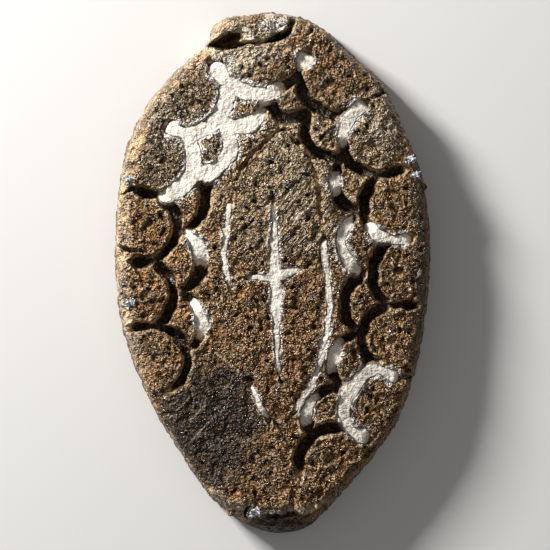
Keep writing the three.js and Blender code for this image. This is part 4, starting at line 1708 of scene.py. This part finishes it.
class Shader:
    """A material's nodes under construction."""

    def __init__(self, name: str) -> None:
        """Starts a material that holds only its output.

        Args:
            name: The material's name.
        """
        self.material = bpy.data.materials.new(name)
        self.material.use_nodes = True
        self.tree = self.material.node_tree
        self.tree.nodes.clear()
        self.output = self.tree.nodes.new("ShaderNodeOutputMaterial")
        self.place = self.add("ShaderNodeTexCoord").outputs["Object"]

    def feed(self, socket: bpy.types.NodeSocket, value: object) -> None:
        """Links a socket to the socket that feeds it, or sets its value.

        Args:
            socket: The socket.
            value: A value, or the socket that feeds it.
        """
        if isinstance(value, bpy.types.NodeSocket):
            self.tree.links.new(value, socket)
        else:
            socket.default_value = value

    def add(self, kind: str, **inputs: object) -> bpy.types.Node:
        """Adds a node.

        Args:
            kind: The node's type.
            **inputs: For each input, with spaces as underscores, a value or the socket that feeds it.

        Returns:
            The node.
        """
        node = self.tree.nodes.new(kind)
        for name, value in inputs.items():
            self.feed(node.inputs[name.replace("_", " ")], value)
        return node

    def math(self, operation: str, *values: object) -> bpy.types.NodeSocket:
        """Joins numbers by an operation, from the first to the last.

        Args:
            operation: The operation's name.
            *values: Numbers, or the sockets that hold them.

        Returns:
            The socket of the result.
        """
        total, *others = values
        for value in others:
            node = self.tree.nodes.new("ShaderNodeMath")
            node.operation = operation
            self.feed(node.inputs[0], total)
            self.feed(node.inputs[1], value)
            total = node.outputs[0]
        return total

    def times(self, *values: object) -> bpy.types.NodeSocket:
        """The product of numbers."""
        return self.math("MULTIPLY", *values)

    def plus(self, *values: object) -> bpy.types.NodeSocket:
        """The sum of numbers."""
        return self.math("ADD", *values)

    def most(self, *values: object) -> bpy.types.NodeSocket:
        """The largest of numbers."""
        return self.math("MAXIMUM", *values)

    def lumps(self, wavelength: float, detail: float = 2.0) -> bpy.types.NodeSocket:
        """Noise from 0 to 1 with lumps of a size in millimetres."""
        node = self.add("ShaderNodeTexNoise", Vector=self.place, Scale=1 / (wavelength * MM), Detail=detail)
        return node.outputs["Fac"]

    def grains(self, size: float) -> bpy.types.NodeSocket:
        """One random number from 0 to 1 for each grain of a size in millimetres."""
        node = self.add("ShaderNodeTexVoronoi", Vector=self.place, Scale=1 / (size * MM))
        return self.add("ShaderNodeSeparateColor", Color=node.outputs["Color"]).outputs["Red"]

    def streaks(self, spacing: float, turn: float) -> bpy.types.NodeSocket:
        """Noise from 0 to 1 drawn out into long marks that run at a turn in degrees.

        Args:
            spacing: The marks' spacing in millimetres.
            turn: The turn in degrees.

        Returns:
            The socket of the noise.
        """
        angle = (0.0, 0.0, math.radians(turn))
        turned = self.add("ShaderNodeMapping", Vector=self.place, Rotation=angle, Scale=(8.0, 1.0, 1.0))
        turned.vector_type = "TEXTURE"
        node = self.add("ShaderNodeTexNoise", Vector=turned.outputs[0], Scale=1 / (spacing * MM), Detail=2.0)
        return node.outputs["Fac"]

    def ramp(
        self, value: bpy.types.NodeSocket, start: float, end: float, top: float = 1.0
    ) -> bpy.types.NodeSocket:
        """Turns a value between start and end smoothly into one from 0 to top.

        Args:
            value: The socket of the value.
            start: The value that gives 0.
            end: The value that gives the top.
            top: The largest result.

        Returns:
            The socket of the result.
        """
        node = self.add("ShaderNodeMapRange", Value=value, From_Min=start, From_Max=end, To_Max=top)
        node.interpolation_type = "SMOOTHSTEP"
        return node.outputs["Result"]

    def mix(self, share: object, first: object, second: object) -> bpy.types.NodeSocket:
        """Mixes two colours by a share.

        Args:
            share: The second colour's share, or its socket.
            first: The first colour, or its socket.
            second: The second colour, or its socket.

        Returns:
            The socket of the mixed colour.
        """
        node = self.tree.nodes.new("ShaderNodeMix")
        node.data_type = "RGBA"
        for socket, value in zip((node.inputs[0], node.inputs[6], node.inputs[7]), (share, first, second)):
            self.feed(socket, value)
        return node.outputs[2]

    def kept(self, name: str) -> bpy.types.NodeSocket:
        """A number that the mesh keeps at its vertices.

        Args:
            name: The attribute's name.

        Returns:
            The socket of the number.
        """
        node = self.tree.nodes.new("ShaderNodeAttribute")
        node.attribute_name = name
        return node.outputs["Fac"]

    def bump(
        self, height: bpy.types.NodeSocket, distance: float, strength: float = 1.0
    ) -> bpy.types.NodeSocket:
        """A fine relief of a height in millimetres."""
        node = self.add("ShaderNodeBump", Height=height, Distance=distance * MM, Strength=strength)
        return node.outputs["Normal"]

    def finish(self, **inputs: object) -> bpy.types.Material:
        """Ends the material with a principled surface.

        Args:
            **inputs: The surface's inputs, as add takes them.

        Returns:
            The material.
        """
        surface = self.add("ShaderNodeBsdfPrincipled", **inputs)
        self.tree.links.new(surface.outputs[0], self.output.inputs["Surface"])
        return self.material


@dataclass(frozen=True)
class LeadPatina:
    """Old lead under a brown, gritty patina, with painted shade deep in its cuts, in its dents and in the
    pits of its grit, and painted highlights on its cut walls, ridges and grains.
    """

    brown: Colour = colour(82, 52, 26)
    ochre: Colour = colour(130, 89, 44)
    rust: Colour = colour(108, 64, 30)
    umber: Colour = colour(52, 40, 25)
    moss: Colour = colour(150, 132, 96)
    # stone: the pale tone, partly a paler patina and partly painted light on the upper end
    stone: Colour = colour(226, 212, 188)
    # tan: the rim tone, partly wear and partly a painted highlight on the left rim, the foot lip and the
    # burrs
    tan: Colour = colour(206, 170, 122)
    # Painted shade: the black that darkens the pits of the grit and the dents
    pit_and_dent_shade: Colour = colour(18, 13, 9)
    pale: Colour = colour(244, 224, 194)
    # Painted glints on the grains
    glint_amber: Colour = colour(236, 188, 128)
    orange: Colour = colour(160, 104, 56)
    # wall: a painted highlight, the pale of the lit upper walls of the cuts
    wall: Colour = colour(232, 198, 152)
    # Painted shade deep in the cuts
    cut_floor_shade: Colour = colour(34, 25, 16)
    chalk: Colour = colour(240, 234, 224)

    def skin(self, s: Shader) -> bpy.types.NodeSocket:
        """The patina's broad tones, before its grit, with a painted highlight on the upper walls of the cuts.

        Args:
            s: The material under construction.

        Returns:
            The socket of the colour.
        """
        base = s.mix(s.ramp(s.lumps(1.5, 4.0), 0.42, 0.58), self.brown, self.ochre)
        stone = s.mix(s.ramp(s.lumps(0.9, 3.0), 0.48, 0.64, 0.8), self.stone, self.tan)
        tan = s.mix(s.ramp(s.lumps(0.9, 3.0), 0.5, 0.66, 0.7), self.tan, self.rust)
        # The pale and rim tones are partly painted light on the upper end, the left rim, the foot lip and the
        # burrs
        tones = (
            ("moss", self.moss), ("pale", stone), ("rust", self.rust), ("dark", self.umber), ("rim", tan),
        )
        for name, tone in tones:
            base = s.mix(s.kept(name), base, tone)
        dim = s.ramp(s.kept("pale"), 1.1, 0.2)
        for wavelength, start, top in ((1.1, 0.47, 0.6), (3.4, 0.5, 0.55)):
            share = s.times(dim, s.ramp(s.lumps(wavelength, 3.0), start, 0.36, top))
            base = s.mix(share, base, self.umber)
        # Painted highlight: the upper part of each cut's walls is painted pale, as if lit
        upper = s.times(s.ramp(s.kept("cut"), 0.05, 0.2, 0.9), s.ramp(s.kept("cut"), 0.7, 0.4))
        return s.mix(upper, base, self.wall)

    def material(self) -> bpy.types.Material:
        """Makes the material.

        Returns:
            The material.
        """
        s = Shader("lead_patina")
        coarse, fine, finest = s.lumps(0.24, 1.0), s.lumps(0.15, 1.0), s.lumps(0.1, 0.0)
        patchy = s.plus(0.4, s.ramp(s.lumps(1.3, 2.0), 0.38, 0.58, 0.6))
        grit = s.times(s.kept("grit"), patchy)
        # light: where the painted glints and the orange flecks show, less in the dark patches; grains: the
        # colour of the painted glints
        light = s.times(grit, s.ramp(s.kept("dark"), 1.15, 0.0))
        grains = s.mix(s.most(s.kept("rim"), s.kept("pale"), s.kept("moss")), self.glint_amber, self.pale)
        streaks = s.streaks(0.2, FILE_TURN)
        base = self.skin(s)
        # Painted shade: black in the pits of the grit, standing in for the shadows that the bump can't cast
        for lumps, start, end, top in (
            (coarse, 0.44, 0.34, 0.85), (fine, 0.42, 0.32, 0.85), (finest, 0.38, 0.3, 0.7),
        ):
            base = s.mix(s.times(grit, s.ramp(lumps, start, end, top)), base, self.pit_and_dent_shade)
        base = s.mix(s.times(light, s.ramp(s.lumps(0.34, 3.0), 0.56, 0.66, 0.5)), base, self.orange)
        # Painted glints: pale and amber specks on the grains
        base = s.mix(s.times(light, s.ramp(fine, 0.57, 0.61)), base, grains)
        base = s.mix(s.times(light, s.ramp(finest, 0.62, 0.7)), base, grains)
        base = s.mix(s.times(s.kept("filed"), s.ramp(streaks, 0.56, 0.64, 0.8)), base, self.pale)
        base = s.mix(s.ramp(s.kept("scratch"), 0.2, 0.9, 0.35), base, self.pale)
        # Worn convex bulges are paler, partly as a painted highlight on the ridges
        base = s.mix(s.times(s.kept("wear"), s.ramp(s.lumps(0.4), 0.4, 0.6, 0.6)), base, grains)
        # Painted shade in the dents
        base = s.mix(s.ramp(s.kept("dent_shade"), 0.15, 0.9, 0.75), base, self.pit_and_dent_shade)
        # Painted shade deep in the cuts
        deep = s.most(s.kept("floor"), s.ramp(s.kept("cut"), 0.45, 0.85, 0.8))
        base = s.mix(s.ramp(deep, 0.0, 1.0, 0.9), base, self.cut_floor_shade)
        speck = s.plus(s.times(s.lumps(0.15, 2.0), 1.3), s.times(s.lumps(0.7), 0.5), s.kept("dust"))
        base = s.mix(s.ramp(speck, 1.36, 1.6, 0.95), base, self.chalk)
        grit_height = s.plus(s.times(coarse, 0.9), s.times(fine, 0.7), s.times(finest, 0.3))
        height = s.plus(
            s.times(grit, grit_height), s.times(s.kept("filed"), streaks), s.times(s.lumps(0.6, 1.0), 0.5)
        )
        return s.finish(
            Base_Color=base, Roughness=s.ramp(s.lumps(0.3), 0.2, 0.75, 0.6), Metallic=0.0,
            Specular_IOR_Level=0.5, Normal=s.bump(height, 1.25),
        )


@dataclass(frozen=True)
class ChalkPowder:
    """Dry white powder, matt and a little dirty, with the lead's grit showing where it is thin."""

    white: Colour = colour(236, 228, 215)
    dirty: Colour = colour(184, 168, 146)
    brown: Colour = colour(92, 74, 54)

    def material(self) -> bpy.types.Material:
        """Makes the material.

        Returns:
            The material.
        """
        s = Shader("chalk_powder")
        base = s.mix(s.ramp(s.lumps(0.8, 4.0), 0.52, 0.7, 0.6), self.white, self.dirty)
        base = s.mix(s.ramp(s.lumps(0.2, 2.0), 0.5, 0.34, 0.5), base, self.dirty)
        cover = s.plus(s.kept("cover"), s.times(s.lumps(0.17, 3.0), 1.6))
        base = s.mix(s.ramp(cover, 1.35, 0.85, 0.9), base, self.brown)
        height = s.plus(s.lumps(0.3, 2.0), s.times(s.lumps(0.14, 1.0), 0.5))
        return s.finish(Base_Color=base, Roughness=0.95, Specular_IOR_Level=0.1, Normal=s.bump(height, 0.12))


@dataclass(frozen=True)
class Earth:
    """Dark crumbly soil."""

    dark: Colour = colour(52, 36, 24)
    light: Colour = colour(120, 86, 56)

    def material(self) -> bpy.types.Material:
        """Makes the material.

        Returns:
            The material.
        """
        s = Shader("earth")
        base = s.mix(s.ramp(s.grains(0.09), 0.3, 1.0, 0.8), self.dark, self.light)
        return s.finish(Base_Color=base, Roughness=0.9, Normal=s.bump(s.lumps(0.08, 3.0), 0.05, 0.8))


@dataclass(frozen=True)
class CrystalCrust:
    """Bluish-white splintery crystals."""

    pale: Colour = colour(222, 224, 222)
    blue: Colour = colour(140, 148, 152)

    def material(self) -> bpy.types.Material:
        """Makes the material.

        Returns:
            The material.
        """
        s = Shader("crystal_crust")
        base = s.mix(s.ramp(s.grains(0.12), 0.3, 0.9), self.blue, self.pale)
        return s.finish(Base_Color=base, Roughness=0.3, Normal=s.bump(s.lumps(0.05), 0.03, 0.6))


@dataclass(frozen=True)
class Lamp:
    """A square soft lamp turned to the plate, with its place and its side in millimetres.

    Its level is how brightly it lights a level white surface, where 1 is white.
    """

    name: str
    at: tuple[float, float, float]
    side: float
    level: float

    def hang(self) -> None:
        """Puts the lamp in its place."""
        at = Vector(self.at)
        data = bpy.data.lights.new(self.name, "AREA")
        away = at.length * MM
        data.shape, data.size = "SQUARE", self.side * MM
        data.energy = self.level * math.pi**2 * away**2 / (at.z * MM / away)
        made = bpy.data.objects.new(self.name, data)
        made.location = at * MM
        made.rotation_euler = at.to_track_quat("Z", "Y").to_euler()
        bpy.context.scene.collection.objects.link(made)


@dataclass(frozen=True)
class Studio:
    """A pale floor, plain soft light and the camera straight above the face."""

    pixels_a_millimetre: float = 13.2
    middle_pixel: tuple[float, float] = (272.5, 273.0)
    image_pixels: float = 550.0
    lens: float = 200.0
    sensor: float = 36.0
    face_level: float = 4.0
    floor_half_side: float = 2.0
    floor_colour: Colour = colour(228, 226, 222)
    world_light: float = 0.16
    world_look: float = 0.9
    lamps: tuple[Lamp, ...] = (
        Lamp("key", (-155, 135, 88), 50, 0.82), Lamp("fill", (120, -60, 200), 160, 0.04),
    )

    def camera(self) -> None:
        """Puts the camera where the photograph was taken from."""
        data = bpy.data.cameras.new("camera")
        data.lens, data.sensor_width = self.lens, self.sensor
        data.clip_start, data.clip_end = 0.01, 10.0
        made = bpy.data.objects.new("camera", data)
        half = self.image_pixels / 2
        x = (half - self.middle_pixel[0]) / self.pixels_a_millimetre
        y = (self.middle_pixel[1] - half) / self.pixels_a_millimetre
        away = self.image_pixels / self.pixels_a_millimetre * self.lens / self.sensor
        made.location = Vector((x, y, self.face_level + away)) * MM
        bpy.context.scene.collection.objects.link(made)
        bpy.context.scene.camera = made

    def floor(self) -> None:
        """Lays the pale floor."""
        bm = bmesh.new()
        bmesh.ops.create_grid(bm, x_segments=1, y_segments=1, size=self.floor_half_side)
        made = scene_object("floor", mesh_of(bm, "floor"))
        made.data.materials.append(Shader("floor").finish(Base_Color=self.floor_colour, Roughness=0.9))

    def world(self) -> None:
        """Gives the world a weak even light and a pale look."""
        world = bpy.data.worlds.new("studio")
        world.use_nodes = True
        bpy.context.scene.world = world
        tree = world.node_tree
        back = tree.nodes["Background"]
        back.inputs["Color"].default_value = (1.0, 1.0, 1.0, 1.0)
        path = tree.nodes.new("ShaderNodeLightPath")
        seen = tree.nodes.new("ShaderNodeMath")
        seen.operation = "MAXIMUM"
        tree.links.new(path.outputs["Is Camera Ray"], seen.inputs[0])
        tree.links.new(path.outputs["Is Transmission Ray"], seen.inputs[1])
        level = tree.nodes.new("ShaderNodeMapRange")
        tree.links.new(seen.outputs[0], level.inputs["Value"])
        level.inputs["To Min"].default_value = self.world_light
        level.inputs["To Max"].default_value = self.world_look
        tree.links.new(level.outputs[0], back.inputs["Strength"])

    def build(self) -> None:
        """Makes the camera, the floor and the lights."""
        bpy.context.scene.view_settings.view_transform = "Standard"
        self.camera()
        self.floor()
        self.world()
        for lamp in self.lamps:
            lamp.hang()


def main() -> None:
    """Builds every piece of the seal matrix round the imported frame."""
    logging.basicConfig(level=logging.INFO, format="%(message)s", stream=sys.stdout)
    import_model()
    Studio().build()
    drawing = Drawing.from_frame()
    relief = Relief(drawing, drawing.all_strokes(), Wear(drawing), Tones(drawing))
    fills = [*border_fills(drawing), *field_fills(drawing)]
    lead, chalk = LeadPatina().material(), ChalkPowder().material()
    Casting(drawing, relief).build(lead, fills)
    for fill in fills:
        fill.build(relief, chalk)
    earth, crystal = Earth().material(), CrystalCrust().material()
    SoilPlug(relief).build(earth)
    Grain("soil_grain_right_rim", Field.SOIL_GRAIN, relief).build("soil", earth)
    for number, place in enumerate(CRYSTAL_PLACES):
        Crust(f"crystal_{place}", Field.CRYSTALS + number, relief).build("crystal", crystal)


if __name__ == "__main__":
    main()
